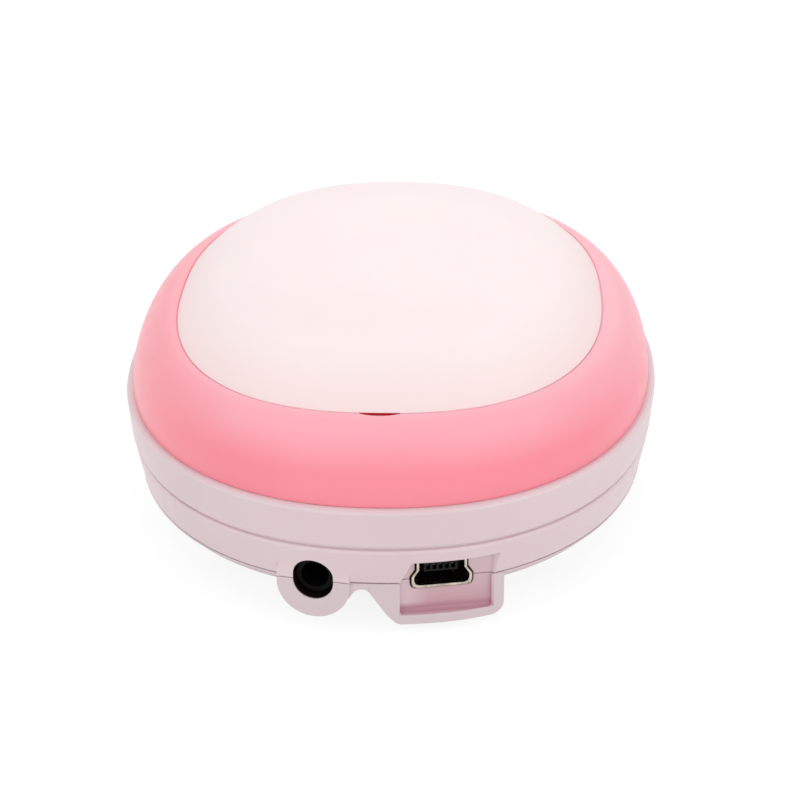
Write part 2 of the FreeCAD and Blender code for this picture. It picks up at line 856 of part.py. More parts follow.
def brick(name, left, right, front, back, low, high):
    """A block between six planes; every value is an expression."""
    item = document.addObject("Part::Box", name)
    item.Label = name
    item.setExpression("Length", f"({right}) - ({left})")
    item.setExpression("Width", f"({back}) - ({front})")
    item.setExpression("Height", f"({high}) - ({low})")
    item.setExpression("Placement.Base.x", left)
    item.setExpression("Placement.Base.y", front)
    item.setExpression("Placement.Base.z", low)
    return item


def group(label, items):
    """One sub-part made of several primitives."""
    union = document.addObject("Part::MultiFuse", label)
    union.Label = label
    union.Shapes = items
    sub_parts.append(union)
    return union


def less(label, base, tools):
    """A primitive with others taken out of it."""
    tool = tools[0]
    if len(tools) > 1:
        tool = document.addObject("Part::MultiFuse", f"{label}_tools")
        tool.Shapes = tools
    cut = document.addObject("Part::Cut", label)
    cut.Label = label
    cut.Base = base
    cut.Tool = tool
    sub_parts.append(cut)
    return cut


BOARD_TOP = "Sizes.board_height + Sizes.board_thickness"
TRAY_BOTTOM = f"{BOARD_TOP} + Sizes.tray_foot"
BAY_FLOOR = f"{TRAY_BOTTOM} + Sizes.tray_floor"
CASE_LOW = f"{BAY_FLOOR} + Sizes.snap_clearance / 2"
CASE_MIDDLE = f"{CASE_LOW} + Sizes.case_thickness / 2"
CASE_BACK = "Sizes.case_length - Sizes.case_front"
SNAP_FRONT = f"{CASE_BACK} + Sizes.snap_clearance"
WHEEL_Y = "Sizes.rim_half_depth - Sizes.wheel_inset"
WHEEL_LOW = "Sizes.seam_height + Sizes.wheel_clearance"
WHEEL_TOP = f"{WHEEL_LOW} + Sizes.wheel_thickness"
FLANGE_RADIUS = "Sizes.probe_radius + Sizes.flange_width"
SCREW_X = "(Sizes.rim_half_width - Sizes.screw_inset_x)"
SCREW_Y = "(Sizes.rim_half_depth - Sizes.screw_inset_y)"


def make_headphone_jack():
    """The 3.5 mm jack: a block under the board with a round nose and its bore."""
    body = add_body("headphone_jack", jack_frame)
    half = "Sizes.jack_width / 2"
    middle = "Sizes.jack_height"
    low = "Sizes.jack_height - Sizes.jack_bore - Sizes.jack_wall"
    top = "Sizes.board_height - Sizes.seat_clearance"
    front = "-Sizes.jack_setback"
    start = "-(Sizes.jack_setback + Sizes.nose_length)"
    block = rectangle(body, "jack_block", "XZ_Plane", f"-{half}", half, low, top, start)
    pad(body, "block_pad", block, "Sizes.jack_depth + Sizes.jack_wall - Sizes.nose_length", True)
    nose = circle(body, "jack_nose", "XZ_Plane", "0", middle, "Sizes.jack_nose", front)
    pad(body, "nose_pad", nose, "Sizes.nose_length", True)
    bore = circle(body, "jack_bore", "XZ_Plane", "0", middle, "Sizes.jack_bore", front)
    pocket(body, "bore_pocket", bore, "Sizes.jack_depth")


def usb_corners(growth):
    """The mini USB outline as pairs of expressions, grown all round."""
    half = f"Sizes.usb_width / 2 + {growth}"
    top_half = f"Sizes.usb_top_width / 2 + {growth}"
    tall = "Sizes.usb_tall / 2"
    bottom = f"Sizes.usb_height - {tall} - ({growth})"
    right = [
        (top_half, f"Sizes.usb_height + {tall} + {growth}"),
        (top_half, "Sizes.usb_height + Sizes.usb_shoulder_top"),
        (half, "Sizes.usb_height - Sizes.usb_shoulder_low"),
        (half, f"{bottom} + Sizes.usb_corner"),
        (f"{half} - Sizes.usb_soften", f"{bottom} + Sizes.usb_soften"),
        (f"{half} - Sizes.usb_corner", bottom),
    ]
    left = [(f"-({x})", z) for x, z in reversed(right)]
    return right + left


def make_usb_shell():
    """The sheet metal shell of the mini USB socket, closed at its back."""
    body = add_body("usb_shell", usb_frame)
    outer = polygon(body, "usb_outside", "XZ_Plane", usb_corners("0"), "-Sizes.usb_setback")
    pad(body, "outside_pad", outer, "Sizes.usb_length", True)
    inner = polygon(body, "usb_inside", "XZ_Plane", usb_corners("(-Sizes.usb_sheet)"), "-Sizes.usb_setback")
    pocket(body, "inside_pocket", inner, "Sizes.usb_length - Sizes.usb_sheet")


def make_usb_insert():
    """The plastic core of the socket: a plug at the back and a tongue with one slot for each contact."""
    body = add_body("usb_insert", usb_frame)
    gap = "(-Sizes.usb_sheet - Sizes.insert_clearance)"
    plug_start = "-(Sizes.usb_setback + Sizes.usb_length - Sizes.usb_sheet - Sizes.insert_length)"
    plug = polygon(body, "insert_plug", "XZ_Plane", usb_corners(gap), plug_start)
    pad(body, "plug_pad", plug, "Sizes.insert_length - Sizes.insert_clearance", True)
    half = "Sizes.tongue_width / 2"
    middle = "Sizes.usb_height + Sizes.tongue_rise"
    start = "-(Sizes.usb_setback + Sizes.tongue_setback)"
    tongue = rectangle(
        body,
        "insert_tongue",
        "XZ_Plane",
        f"-{half}",
        half,
        f"{middle} - Sizes.tongue_thickness / 2",
        f"{middle} + Sizes.tongue_thickness / 2",
        start,
    )
    reach = "Sizes.usb_length - Sizes.usb_sheet - Sizes.insert_length - Sizes.tongue_setback"
    pad(body, "tongue_pad", tongue, reach, True)
    first = "-Sizes.contact_pitch * (Sizes.contact_count - 1) / 2"
    slot = rectangle(
        body,
        "insert_slot",
        "XZ_Plane",
        f"{first} - Sizes.slot_width / 2",
        f"{first} + Sizes.slot_width / 2",
        f"{middle} - Sizes.slot_height / 2",
        f"{middle} + Sizes.slot_height / 2",
        start,
    )
    first_slot = pocket(body, "slot_pocket", slot, reach)
    row = body.newObject("PartDesign::LinearPattern", "slot_row")
    row.Originals = [first_slot]
    row.Direction = (slot, ["H_Axis"])
    row.setExpression("Length", "Sizes.contact_pitch * (Sizes.contact_count - 1)")
    row.setExpression("Occurrences", "Sizes.contact_count")
    body.Tip = row


def make_usb_contacts():
    """The gold contacts in the slots of the tongue."""
    low = usb_z + size("tongue_rise") - size("contact_thickness") / 2
    front = size("usb_setback") + size("tongue_setback") + size("contact_setback")
    tongue = "Sizes.usb_length - Sizes.usb_sheet - Sizes.insert_length - Sizes.tongue_setback"
    last = int(size("contact_count")) - 1
    bars = []
    for index in range(last + 1):
        left = (index - last / 2) * size("contact_pitch") - size("contact_width") / 2
        bar = document.addObject("Part::Box", f"contact_bar_{index}")
        bar.setExpression("Length", "Sizes.contact_width")
        bar.setExpression("Height", "Sizes.contact_thickness")
        bar.setExpression("Width", f"{tongue} - Sizes.contact_setback")
        bar.Placement = usb_frame.multiply(at(left, front, low))
        bars.append(bar)
    group("usb_contacts", bars)


def make_battery():
    """The 9 volt block, its two snap studs and the snap connector on them."""
    half = "Sizes.case_width / 2"
    top = f"{CASE_LOW} + Sizes.case_thickness"
    case = add_body("battery_case", at(0, 0, 0))
    end = rectangle(case, "case_end", "XZ_Plane", f"-{half}", half, CASE_LOW, top, f"-({CASE_BACK})")
    block = pad(case, "case_pad", end, "Sizes.case_length")
    round_edges(case, "case_edges", block, "Sizes.case_radius", lambda bounds: bounds.YLength > 1)
    snap = add_body("battery_snap", at(0, 0, 0))
    half = "Sizes.snap_width / 2"
    low = f"{CASE_MIDDLE} - Sizes.snap_tall / 2"
    top = f"{CASE_MIDDLE} + Sizes.snap_tall / 2"
    face = rectangle(snap, "snap_face", "XZ_Plane", f"-{half}", half, low, top, f"-({SNAP_FRONT})")
    cap = pad(snap, "snap_pad", face, "Sizes.snap_depth", True)
    round_edges(snap, "snap_edges", cap, "Sizes.case_radius", lambda bounds: bounds.YLength > 1)
    make_terminal(snap, "battery_stud", "-Sizes.terminal_spacing / 2", "Sizes.stud_radius")
    make_terminal(snap, "battery_cup", "Sizes.terminal_spacing / 2", "Sizes.socket_radius")


def make_terminal(snap, label, x, radius):
    """One terminal of the battery, and the hollow for it in the snap connector."""
    stud = document.addObject("Part::Cylinder", label)
    stud.Label = label
    stud.setExpression("Radius", radius)
    stud.setExpression("Height", "Sizes.terminal_height")
    stud.Placement = FreeCAD.Placement(Vector(0, 0, 0), Rotation(Vector(1, 0, 0), -90))
    stud.setExpression("Placement.Base.x", x)
    stud.setExpression("Placement.Base.y", CASE_BACK)
    stud.setExpression("Placement.Base.z", CASE_MIDDLE)
    sub_parts.append(stud)
    loose = f"{radius} + Sizes.snap_clearance"
    hollow = circle(snap, f"{label}_hollow", "XZ_Plane", x, CASE_MIDDLE, loose, f"-({SNAP_FRONT})")
    pocket(snap, f"{label}_pocket", hollow, "Sizes.terminal_height")


def make_battery_leads():
    """The two leads from the snap connector down through the tray to the board."""
    y = f"{SNAP_FRONT} + Sizes.snap_depth / 2"
    top = f"{CASE_MIDDLE} - Sizes.snap_tall / 2"
    for label, side in (("battery_lead_black", "-1"), ("battery_lead_red", "1")):
        x = f"{side} * Sizes.lead_spacing / 2"
        sub_parts.append(rod(label, x, y, BOARD_TOP, top, "Sizes.lead_radius"))


def make_volume_control():
    """The knurled thumb wheel with its shaft, and the potentiometer on the board that it turns."""
    wheel = add_body("volume_wheel", at(0, 0, 0))
    wheel.setExpression("Placement.Base.y", WHEEL_Y)
    disc = circle(wheel, "wheel_disc", "XY_Plane", "0", "0", "Sizes.wheel_radius", WHEEL_LOW)
    pad(wheel, "disc_pad", disc, "Sizes.wheel_thickness")
    shaft = circle(wheel, "wheel_shaft", "XY_Plane", "0", "0", "Sizes.shaft_radius", WHEEL_TOP)
    pad(wheel, "shaft_pad", shaft, f"{BOARD_TOP} + Sizes.pot_height - ({WHEEL_TOP})")
    outside = "Sizes.wheel_radius + Sizes.knurl_depth"
    corners = [
        ("Sizes.wheel_radius - Sizes.knurl_depth", "0"),
        (outside, "-Sizes.knurl_width"),
        (outside, "Sizes.knurl_width"),
    ]
    notch = polygon(wheel, "knurl", "XY_Plane", corners, WHEEL_TOP)
    cut = pocket(wheel, "knurl_pocket", notch, "Sizes.wheel_thickness")
    knurls = wheel.newObject("PartDesign::PolarPattern", "knurls")
    knurls.Originals = [cut]
    knurls.Axis = (notch, ["N_Axis"])
    knurls.Angle = 360
    knurls.setExpression("Occurrences", "Sizes.knurl_count")
    wheel.Tip = knurls
    pot = add_body("volume_pot", at(0, 0, 0))
    pot.setExpression("Placement.Base.y", WHEEL_Y)
    can = circle(pot, "pot_can", "XY_Plane", "0", "0", "Sizes.pot_radius", BOARD_TOP)
    pad(pot, "can_pad", can, "Sizes.pot_height")
    loose = "Sizes.shaft_radius + Sizes.shaft_clearance"
    hole = circle(pot, "pot_bore", "XY_Plane", "0", "0", loose, BOARD_TOP)
    pocket(pot, "bore_pocket", hole, "Sizes.pot_height", True)


def make_power_lamp():
    """The light pipe in the housing's back and the lamp under the board behind it."""
    surface = edge_of(lower_plan, size("lamp_x"))
    lamp = add_body("power_lamp_lens", at(size("lamp_x"), surface, lamp_z))
    disc = circle(lamp, "lens_end", "XZ_Plane", "0", "0", "Sizes.lamp_radius")
    pipe = pad(lamp, "lens_pad", disc, "Sizes.lamp_length")
    rim_edge = [f"Edge{i}" for i, e in enumerate(pipe.Shape.Edges, 1) if e.BoundBox.YMin > -NEAR / 2]
    bevel = lamp.newObject("PartDesign::Chamfer", "lens_edge")
    bevel.Base = (pipe, rim_edge)
    bevel.setExpression("Size", "Sizes.lamp_edge")
    half = size("led_size") / 2
    led_back = surface - size("lamp_length") - size("insert_clearance")
    led = document.addObject("Part::Box", "power_led")
    led.Label = "power_led"
    for side in ("Length", "Width"):
        led.setExpression(side, "Sizes.led_size")
    led.setExpression("Height", "Sizes.board_height - Sizes.led_low")
    led.Placement = at(size("lamp_x") - half, led_back - 2 * half, size("led_low"))
    sub_parts.append(led)


def make_probe_face():
    """The round cup whose flat underside touches the skin, with the flange that holds it in the base."""
    face = add_body("probe_face", at(0, 0, 0))
    flange_low = "Sizes.floor_height + Sizes.seal_thickness"
    flange_top = f"{flange_low} + Sizes.flange_thickness"
    section = [
        ("0", "0"),
        ("Sizes.probe_radius - Sizes.probe_edge", "0"),
        ("Sizes.probe_radius - Sizes.probe_edge_low", "Sizes.probe_edge_low"),
        ("Sizes.probe_radius", "Sizes.probe_edge"),
        ("Sizes.probe_radius", flange_low),
        (FLANGE_RADIUS, flange_low),
        (FLANGE_RADIUS, flange_top),
        ("Sizes.probe_radius - Sizes.probe_wall", flange_top),
        ("Sizes.probe_radius - Sizes.probe_wall", "Sizes.probe_window"),
        ("0", "Sizes.probe_window"),
    ]
    turned(face, "face_turn", polygon(face, "face_section", "XZ_Plane", section))
    seal = add_body("probe_seal", at(0, 0, 0))
    ring = [
        ("Sizes.probe_radius + Sizes.probe_clearance", "Sizes.floor_height"),
        (FLANGE_RADIUS, "Sizes.floor_height"),
        (FLANGE_RADIUS, flange_low),
        ("Sizes.probe_radius + Sizes.probe_clearance", flange_low),
    ]
    turned(seal, "seal_turn", polygon(seal, "seal_section", "XZ_Plane", ring))


def make_transducer():
    """The two half-round crystals on the probe's window, their backing, the can over them, the leads."""
    crystal_top = "Sizes.probe_window + Sizes.crystal_thickness"
    backing_top = f"{crystal_top} + Sizes.backing_thickness"
    for name, turn, side in (("crystal_transmit", 0, "1"), ("crystal_receive", 180, "-1")):
        half = document.addObject("Part::Cylinder", name)
        half.Label = name
        half.Angle = 180
        half.Placement = FreeCAD.Placement(Vector(0, 0, 0), Rotation(Vector(0, 0, 1), turn))
        half.setExpression("Radius", "Sizes.crystal_radius")
        half.setExpression("Height", "Sizes.crystal_thickness")
        half.setExpression("Placement.Base.y", f"{side} * Sizes.crystal_gap / 2")
        half.setExpression("Placement.Base.z", "Sizes.probe_window")
        sub_parts.append(half)
    hole = "Sizes.coax_radius + Sizes.coax_clearance"
    rim_radius = "Sizes.crystal_radius + Sizes.crystal_gap"
    disc = rod("backing_disc", "0", "0", crystal_top, backing_top, rim_radius)
    holes = []
    for name, side in (("front", "-1"), ("back", "1")):
        y = f"{side} * Sizes.coax_y"
        holes.append(rod(f"backing_{name}_hole", "0", y, crystal_top, backing_top, hole))
    less("crystal_backing", disc, holes)
    can = add_body("probe_can", at(0, 0, 0))
    radius = "Sizes.probe_radius - Sizes.probe_wall - Sizes.can_clearance"
    top = "Sizes.probe_window + Sizes.can_height"
    section = [
        (f"{radius} - Sizes.can_sheet", "Sizes.probe_window"),
        (radius, "Sizes.probe_window"),
        (radius, top),
        ("0", top),
        ("0", f"{top} - Sizes.can_sheet"),
        (f"{radius} - Sizes.can_sheet", f"{top} - Sizes.can_sheet"),
    ]
    turned(can, "can_turn", polygon(can, "can_section", "XZ_Plane", section))
    for name, side in (("front", "-1"), ("back", "1")):
        opening = circle(can, f"can_{name}_hole", "XY_Plane", "0", f"{side} * Sizes.coax_y", hole, top)
        pocket(can, f"can_{name}_pocket", opening, "2 * Sizes.can_sheet")
    for label, side in (("probe_lead_receive", "-1"), ("probe_lead_transmit", "1")):
        y = f"{side} * Sizes.coax_y"
        sub_parts.append(rod(label, "0", y, crystal_top, "Sizes.board_height", "Sizes.coax_radius"))


def make_board_chips():
    """The packages under the board: processor, amplifier, clock can and two capacitors."""
    for name in ("processor", "amplifier", "clock"):
        middle_x = f"Sizes.{name}_x"
        middle_y = f"Sizes.{name}_y"
        half = f"Sizes.{name}_side / 2"
        chip = brick(
            f"{name}_chip",
            f"{middle_x} - {half}",
            f"{middle_x} + {half}",
            f"{middle_y} - {half}",
            f"{middle_y} + {half}",
            f"Sizes.board_height - Sizes.{name}_height",
            "Sizes.board_height",
        )
        sub_parts.append(chip)
    cans = []
    x = "Sizes.capacitor_x"
    low = "Sizes.board_height - Sizes.capacitor_height"
    for name, side in (("input", "-1"), ("output", "1")):
        y = f"Sizes.capacitor_y + {side} * Sizes.capacitor_pitch / 2"
        can = rod(f"capacitor_{name}", x, y, low, "Sizes.board_height", "Sizes.capacitor_radius")
        cans.append(can)
    group("board_capacitors", cans)


def make_housing_screws():
    """The four screws from the base, through the board, into the posts of the top shell."""
    pieces = []
    head_low = "Sizes.head_seat - Sizes.head_height"
    tip = "Sizes.head_seat + Sizes.screw_length"
    for index, (across, along) in enumerate(((-1, -1), (-1, 1), (1, -1), (1, 1))):
        x = f"{across} * {SCREW_X}"
        y = f"{along} * {SCREW_Y}"
        pieces.append(rod(f"screw_head_{index}", x, y, head_low, "Sizes.head_seat", "Sizes.head_radius"))
        pieces.append(rod(f"screw_shank_{index}", x, y, "Sizes.head_seat", tip, "Sizes.screw_radius"))
    group("housing_screws", pieces)


def export():
    """Checks every object, then writes each sub-part under its own label."""
    document.recompute()
    for item in document.Objects:
        if "Invalid" in item.State or "Error" in item.State:
            raise RuntimeError(f"{item.Label} did not recompute")
    for item in sub_parts:
        if item.Shape.isNull() or not item.Shape.isValid():
            raise RuntimeError(f"{item.Label} has no valid shape")
    os.makedirs("parts", exist_ok=True)
    for item in sub_parts:
        item.Shape.exportStep(f"parts/{item.Label}.step")
        print(item.Label, len(item.Shape.Solids), round(item.Shape.Volume, 1))


make_battery_cover()
make_foam_pad()
make_trim_ring()
make_top_shell()
make_mid_shell()
make_bottom_shell()
make_main_board()
make_battery_tray()
make_headphone_jack()
make_usb_shell()
make_usb_insert()
make_usb_contacts()
make_battery()
make_battery_leads()
make_volume_control()
make_power_lamp()
make_probe_face()
make_transducer()
make_board_chips()
make_housing_screws()
export()
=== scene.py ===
"""Looks of the pocket fetal doppler: finishes, fine detail, camera and light on the solids."""

import math
from functools import reduce

import bpy
from mathutils import Matrix, Vector
from mathutils.bvhtree import BVHTree
from mathutils.geometry import barycentric_transform


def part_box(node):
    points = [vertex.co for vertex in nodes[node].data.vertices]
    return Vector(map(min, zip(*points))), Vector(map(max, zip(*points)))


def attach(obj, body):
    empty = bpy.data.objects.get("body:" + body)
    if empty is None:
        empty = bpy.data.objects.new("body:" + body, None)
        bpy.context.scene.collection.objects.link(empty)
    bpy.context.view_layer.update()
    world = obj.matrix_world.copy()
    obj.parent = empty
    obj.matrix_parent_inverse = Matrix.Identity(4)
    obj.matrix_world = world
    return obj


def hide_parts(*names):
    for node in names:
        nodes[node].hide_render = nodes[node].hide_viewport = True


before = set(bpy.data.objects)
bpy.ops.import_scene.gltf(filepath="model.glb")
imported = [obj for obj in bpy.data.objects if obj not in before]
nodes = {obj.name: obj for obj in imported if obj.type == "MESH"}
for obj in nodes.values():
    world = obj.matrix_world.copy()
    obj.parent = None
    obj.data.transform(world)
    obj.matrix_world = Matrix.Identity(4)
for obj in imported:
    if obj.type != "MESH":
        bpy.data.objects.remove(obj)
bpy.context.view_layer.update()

# Lengths are in metres, in the solids' frame. Colours are sRGB steps of 0 to 255.

# How finely the smooth pieces are divided, and from which angle on an edge stays crisp.
AROUND = 192
CROWN_ROWS = 36
TURN_ROWS = 24
ROUND_ROWS = 3
WEB_ROWS = 48
CRISP_ANGLE = math.radians(38)

# The dome and the ring repeat the solids' curves, without their facets. A crown's last row of
# points is short of its middle by the share that CROWN_REACH leaves.
CIRCLE_POWER = 2.0
RIM_POWER = 2.19
COVER_POWER = 2.44
CROWN_POWER = 3.4
CROWN_REACH = 0.985
COVER_SEAM = 0.0284
COVER_EDGE = 0.0015
COVER_WALL = 0.0018
COVER_ROUND = 0.00012
COVER_GAP = 0.00018
SEAM_DEPTH = 0.00017
SEAM_FLOOR_GAP = 0.00003
LIP_INSET = 0.0015
LIP_THICKNESS = 0.0012
COLLAR_REACH = 0.00151
RING_EDGE = 0.00012
RING_WALL = 0.0019

# The pry notch in the ring's inner edge, and the deep red painted shade in it. The painted shade's
# tops are measured down from the seam: first in the notch's own wall, then on the cover's edge
# behind it.
NOTCH_HALF = 0.0026
NOTCH_DEPTH = 0.00055
NOTCH_DROP = 0.001
NOTCH_SHADE_TOP = 0.00018
NOTCH_SHADE_SOFT = 0.00004
BARED_SHADE_HALF = 0.00247
BARED_SHADE_LOW = 0.00036
BARED_SHADE_TOP = 0.00006
BARED_SHADE_SOFT = 0.00005
BARED_SHADE_INWARDS = 0.0005

# The arch between the jack's boss and the socket's block: its round, the slopes below the round,
# the web that fills the corner above it, and the cut that takes the block's corner away. The
# strip's outside beside it is given by height and place along Y.
ARCH_MIDDLE = -0.00225
ARCH_HEIGHT = 0.005
ARCH_RADIUS = 0.00125
ARCH_LEFT = math.radians(53.6)
ARCH_RIGHT = math.radians(57)
WEB_START = -0.005
WEB_FOOT = 0.0048
WEB_TOP = 0.0069
WEB_BACK = -0.0412
CUT_START = -0.0032
CUT_LOW = 0.0025
CUT_FRONT = -0.0824
STRIP_SIDE = ((0.0053, -0.04055), (0.0056, -0.04125), (0.0063, -0.04155))

# The base's faces that lie on the solid's faces, and face as they do, keep the solid's shading.
TOUCHING = 0.000001
SAME_WAY = 0.999
TOWARDS_CENTRE = 0.01
TINY_AREA = 1e-12

# The screws. The head's profile, the thread's root, the tip and the recess are in shares of the
# radius or the height that they belong to.
SCREW_AROUND = 48
SCREW_HEAD = 0.0025
SCREW_HEAD_HEIGHT = 0.0016
SCREW_SHANK = 0.0012
SCREW_TURNS = 14
SCREW_ROOT = 0.8
SCREW_TIP = 0.3
HEAD_PROFILE = ((0.02, 0.0), (0.5, 0.02), (0.75, 0.1), (0.92, 0.28), (1.0, 0.55), (1.0, 1.0))
RECESS_AROUND = 32
RECESS_ARM = (0.56, 0.11)
RECESS_DEPTH = 0.6
RECESS_POWER = 8.0

FOAM_VOXEL = 0.0006
FOAM_SMOOTHING = 6

# The socket's pocket, where painted shade darkens and pinks the shell and painted light brightens
# its left wall, in a frame that stands at the socket and is turned with it.
USB_PLACE = (0.008, -0.041843, 0)
SOCKET_TURN = 10.4
POCKET_ACROSS = (-0.0056, 0.0066)
POCKET_UP = (0.00245, 0.0105)
POCKET_BEGINS = (0.0, 0.00104)
POCKET_ENDS = (0.00156, 0.00208)
POCKET_SHADE_LIFT = (0.0038, 0.0105)
POCKET_LEFT_LIGHT_SPAN = (-0.0046, -0.0016)
POCKET_SHADE = (0.00285, 0.00365)

# The hole round the jack's nose, where black painted shade fills the shell's bore, in a frame that
# stands at the jack and is turned with it.
JACK_PLACE = (-0.0084, -0.041757, 0.0073)
JACK_ACROSS = (-0.00272, 0.00272)
JACK_UP = (-0.00305, 0.00305)
JACK_INWARDS = (0.00015, 0.0028)

# Where one colour runs into another on the ring, the dome and the battery: painted light on the
# ring's top, painted shade on its left side and at the dome's foot, and the battery's printed band.
RING_TOP_LIGHT_SPAN = (0.0225, 0.0283)
RING_SHADED_SIDE_SPAN = (-0.036, -0.018)
DOME_SHADE_RISE = 0.005
BATTERY_BAND = (0.0088, 0.0092)

SHELL_WHITE = ((229, 209, 212), (225, 204, 208))
BASE_WHITE = ((220, 203, 206), (215, 197, 201))
# Painted shade in the socket's pocket: darker, pinker walls, painted light on the left wall, and a
# darkest floor.
POCKET_SHADED_WALLS = ((206, 164, 173), (220, 200, 203))
POCKET_LIT_LEFT_WALL = (224, 200, 205)
POCKET_SHADED_FLOOR = (190, 138, 152)
# Black painted shade inside the jack's hole.
JACK_HOLE_SHADE = (20, 8, 10)
RING_PINK = ((255, 146, 162), (255, 139, 156))
# Painted light on the ring's top and painted shade on its left side.
RING_TOP_LIT_PINK = (255, 174, 186)
RING_SHADED_SIDE_PINK = (255, 150, 161)
# Painted shade, deep red, in the pry notch.
NOTCH_SHADE_RED = (200, 30, 52)
PEARL_WHITE = ((254, 239, 238), (252, 235, 235))
# Painted shade at the dome's foot.
DOME_FOOT_SHADE = (249, 224, 224)
# Painted shade, deep red, on the cover's edge that the notch bares.
BARED_EDGE_SHADE_RED = (210, 26, 52)

# The textures' scales, the strength and depth of their bumps, and how far gloss varies.
NOISE_LOW = 0.3
NOISE_HIGH = 0.7
DRIFT_SCALE = 55
RING_DRIFT_SCALE = 40
GLOSS_SCALE = 420
GRAIN_SCALE = 2600
GRAIN_HEIGHT = 0.00004
STREAK_SCALE = 900
STREAK_STRENGTH = 0.08
STREAK_HEIGHT = 0.00002
STREAK_DARK = 0.75
CELL_SCALE = 1500
CELL_STRENGTH = 0.6
CELL_HEIGHT = 0.0003
TRACK_SCALE = 420
TRACK_GAP = 0.03
PLASTIC_GLOSS = (0.85, 1.15)
METAL_GLOSS = (0.7, 1.4)
COAT_ROUGHNESS = 0.12
GLOW_RADIUS = (0.004, 0.002, 0.002)
GLOW_SCALE = 0.5
EDGE_SOFT = 0.0001

# The photograph's view.
CAMERA_AIM = Vector((0, 0, 0.0186))
CAMERA_DISTANCE = 0.288
CAMERA_AZIMUTH = math.radians(2.52)
CAMERA_ELEVATION = math.radians(25.76)
CAMERA_ROLL = math.radians(-0.6)
CAMERA_LENS = 91.33
CAMERA_SENSOR = 36
CAMERA_SHIFT = (0.01016, -0.0573)

# Light and floor. These two colours are as the shader wants them.
LAMP_AIM = Vector((0, 0, 0.015))
WORLD_LIGHT = 0.69
FLOOR_REACH = 3.0
FLOOR_DROP = 0.0001
FLOOR_GREY = (0.9, 0.9, 0.9, 1)
FLOOR_GLOW = 1.08
FLOOR_GLOW_SHARE = 0.8
WHITE = (1, 1, 1, 1)


# ---------------------------------------------------------------- nodes of a material


def linear(colour):
    """A colour of sRGB steps, as the shader wants it."""
    channels = []
    for value in colour:
        share = value / 255
        channels.append(share / 12.92 if share <= 0.04045 else ((share + 0.055) / 1.055) ** 2.4)
    return (*channels, 1.0)


def fill(item, values):
    """Sets a node's inputs by name; underscores stand for spaces."""
    for key, value in values.items():
        item.inputs[key.replace("_", " ")].default_value = value


def combine(tree, operation, first, second):
    """What an operation makes of two values, of which the second may be a number."""
    item = tree.nodes.new("ShaderNodeMath")
    item.operation = operation
    tree.links.new(first, item.inputs[0])
    if isinstance(second, float):
        item.inputs[1].default_value = second
    else:
        tree.links.new(second, item.inputs[1])
    return item.outputs[0]


class Maker:
    """Builds one node material on the object's own coordinates."""

    # A mix node has sockets for every type of data. These are the ones for colours.
    MIX_INPUTS = (6, 7)
    MIX_OUTPUT = 2

    def __init__(self, name):
        self.material = bpy.data.materials.new(name)
        self.material.use_nodes = True
        self.tree = self.material.node_tree
        self.shader = self.tree.nodes["Principled BSDF"]
        self.coordinates = self.node("ShaderNodeTexCoord").outputs["Object"]

    def node(self, kind, **values):
        """Adds a node with the inputs given."""
        item = self.tree.nodes.new(kind)
        fill(item, values)
        return item

    def join(self, output, target):
        """Links an output to an input."""
        self.tree.links.new(output, target)

    def set(self, **values):
        """Sets plain values on the shader."""
        fill(self.shader, values)

    def drive(self, name, output):
        """Links an output to one of the shader's inputs."""
        self.join(output, self.shader.inputs[name])

    def noise(self, scale, detail, roughness=0.5, stretch=None):
        """A noise on the object's coordinates, stretched if asked."""
        texture = self.node("ShaderNodeTexNoise", Scale=scale, Detail=detail, Roughness=roughness)
        place = self.coordinates
        if stretch:
            mapping = self.node("ShaderNodeMapping", Scale=stretch)
            self.join(place, mapping.inputs["Vector"])
            place = mapping.outputs["Vector"]
        self.join(place, texture.inputs["Vector"])
        return texture.outputs["Fac"]

    def spread(self, output, low, high, start=NOISE_LOW, end=NOISE_HIGH):
        """Maps the values from start to end onto those from low to high."""
        item = self.node("ShaderNodeMapRange")
        fill(item, {"From Min": start, "From Max": end, "To Min": low, "To Max": high})
        self.join(output, item.inputs["Value"])
        return item.outputs["Result"]

    def blend(self, factor, first, second):
        """Mixes two colours, each of them an output or sRGB steps."""
        item = self.node("ShaderNodeMix")
        item.data_type = "RGBA"
        self.join(factor, item.inputs["Factor"])
        for slot, value in zip(self.MIX_INPUTS, (first, second)):
            if isinstance(value, tuple):
                item.inputs[slot].default_value = linear(value)
            else:
                self.join(value, item.inputs[slot])
        return item.outputs[self.MIX_OUTPUT]

    def drift(self, colours, scale=DRIFT_SCALE):
        """Two near tones in slow drifts."""
        return self.blend(self.spread(self.noise(scale, detail=2), 0, 1), *colours)

    def parts(self, vector):
        """The three coordinates of a vector."""
        item = self.node("ShaderNodeSeparateXYZ")
        self.join(vector, item.inputs["Vector"])
        return item.outputs

    def seen_from(self, place, turn):
        """The three coordinates in a frame that stands at a place, turned about Z in degrees."""
        angles = (0, 0, math.radians(turn))
        mapping = self.node("ShaderNodeMapping", Location=place, Rotation=angles)
        mapping.vector_type = "TEXTURE"
        self.join(self.coordinates, mapping.inputs["Vector"])
        return self.parts(mapping.outputs["Vector"])

    def both(self, first, second):
        """The product of two values."""
        return combine(self.tree, "MULTIPLY", first, second)

    def window(self, output, low, high, soft=EDGE_SOFT):
        """One between two values and nothing outside them."""
        rising = self.spread(output, 0, 1, low - soft, low)
        falling = self.spread(output, 1, 0, high, high + soft)
        return self.both(rising, falling)

    def inside(self, *limits):
        """One where every output is between its two limits, and nothing elsewhere."""
        return reduce(self.both, [self.window(*limit) for limit in limits])

    def bump(self, height, strength, distance):
        """Gives the shader a bump."""
        item = self.node("ShaderNodeBump", Strength=strength, Distance=distance)
        self.join(height, item.inputs["Height"])
        self.drive("Normal", item.outputs["Normal"])


# ---------------------------------------------------------------- materials


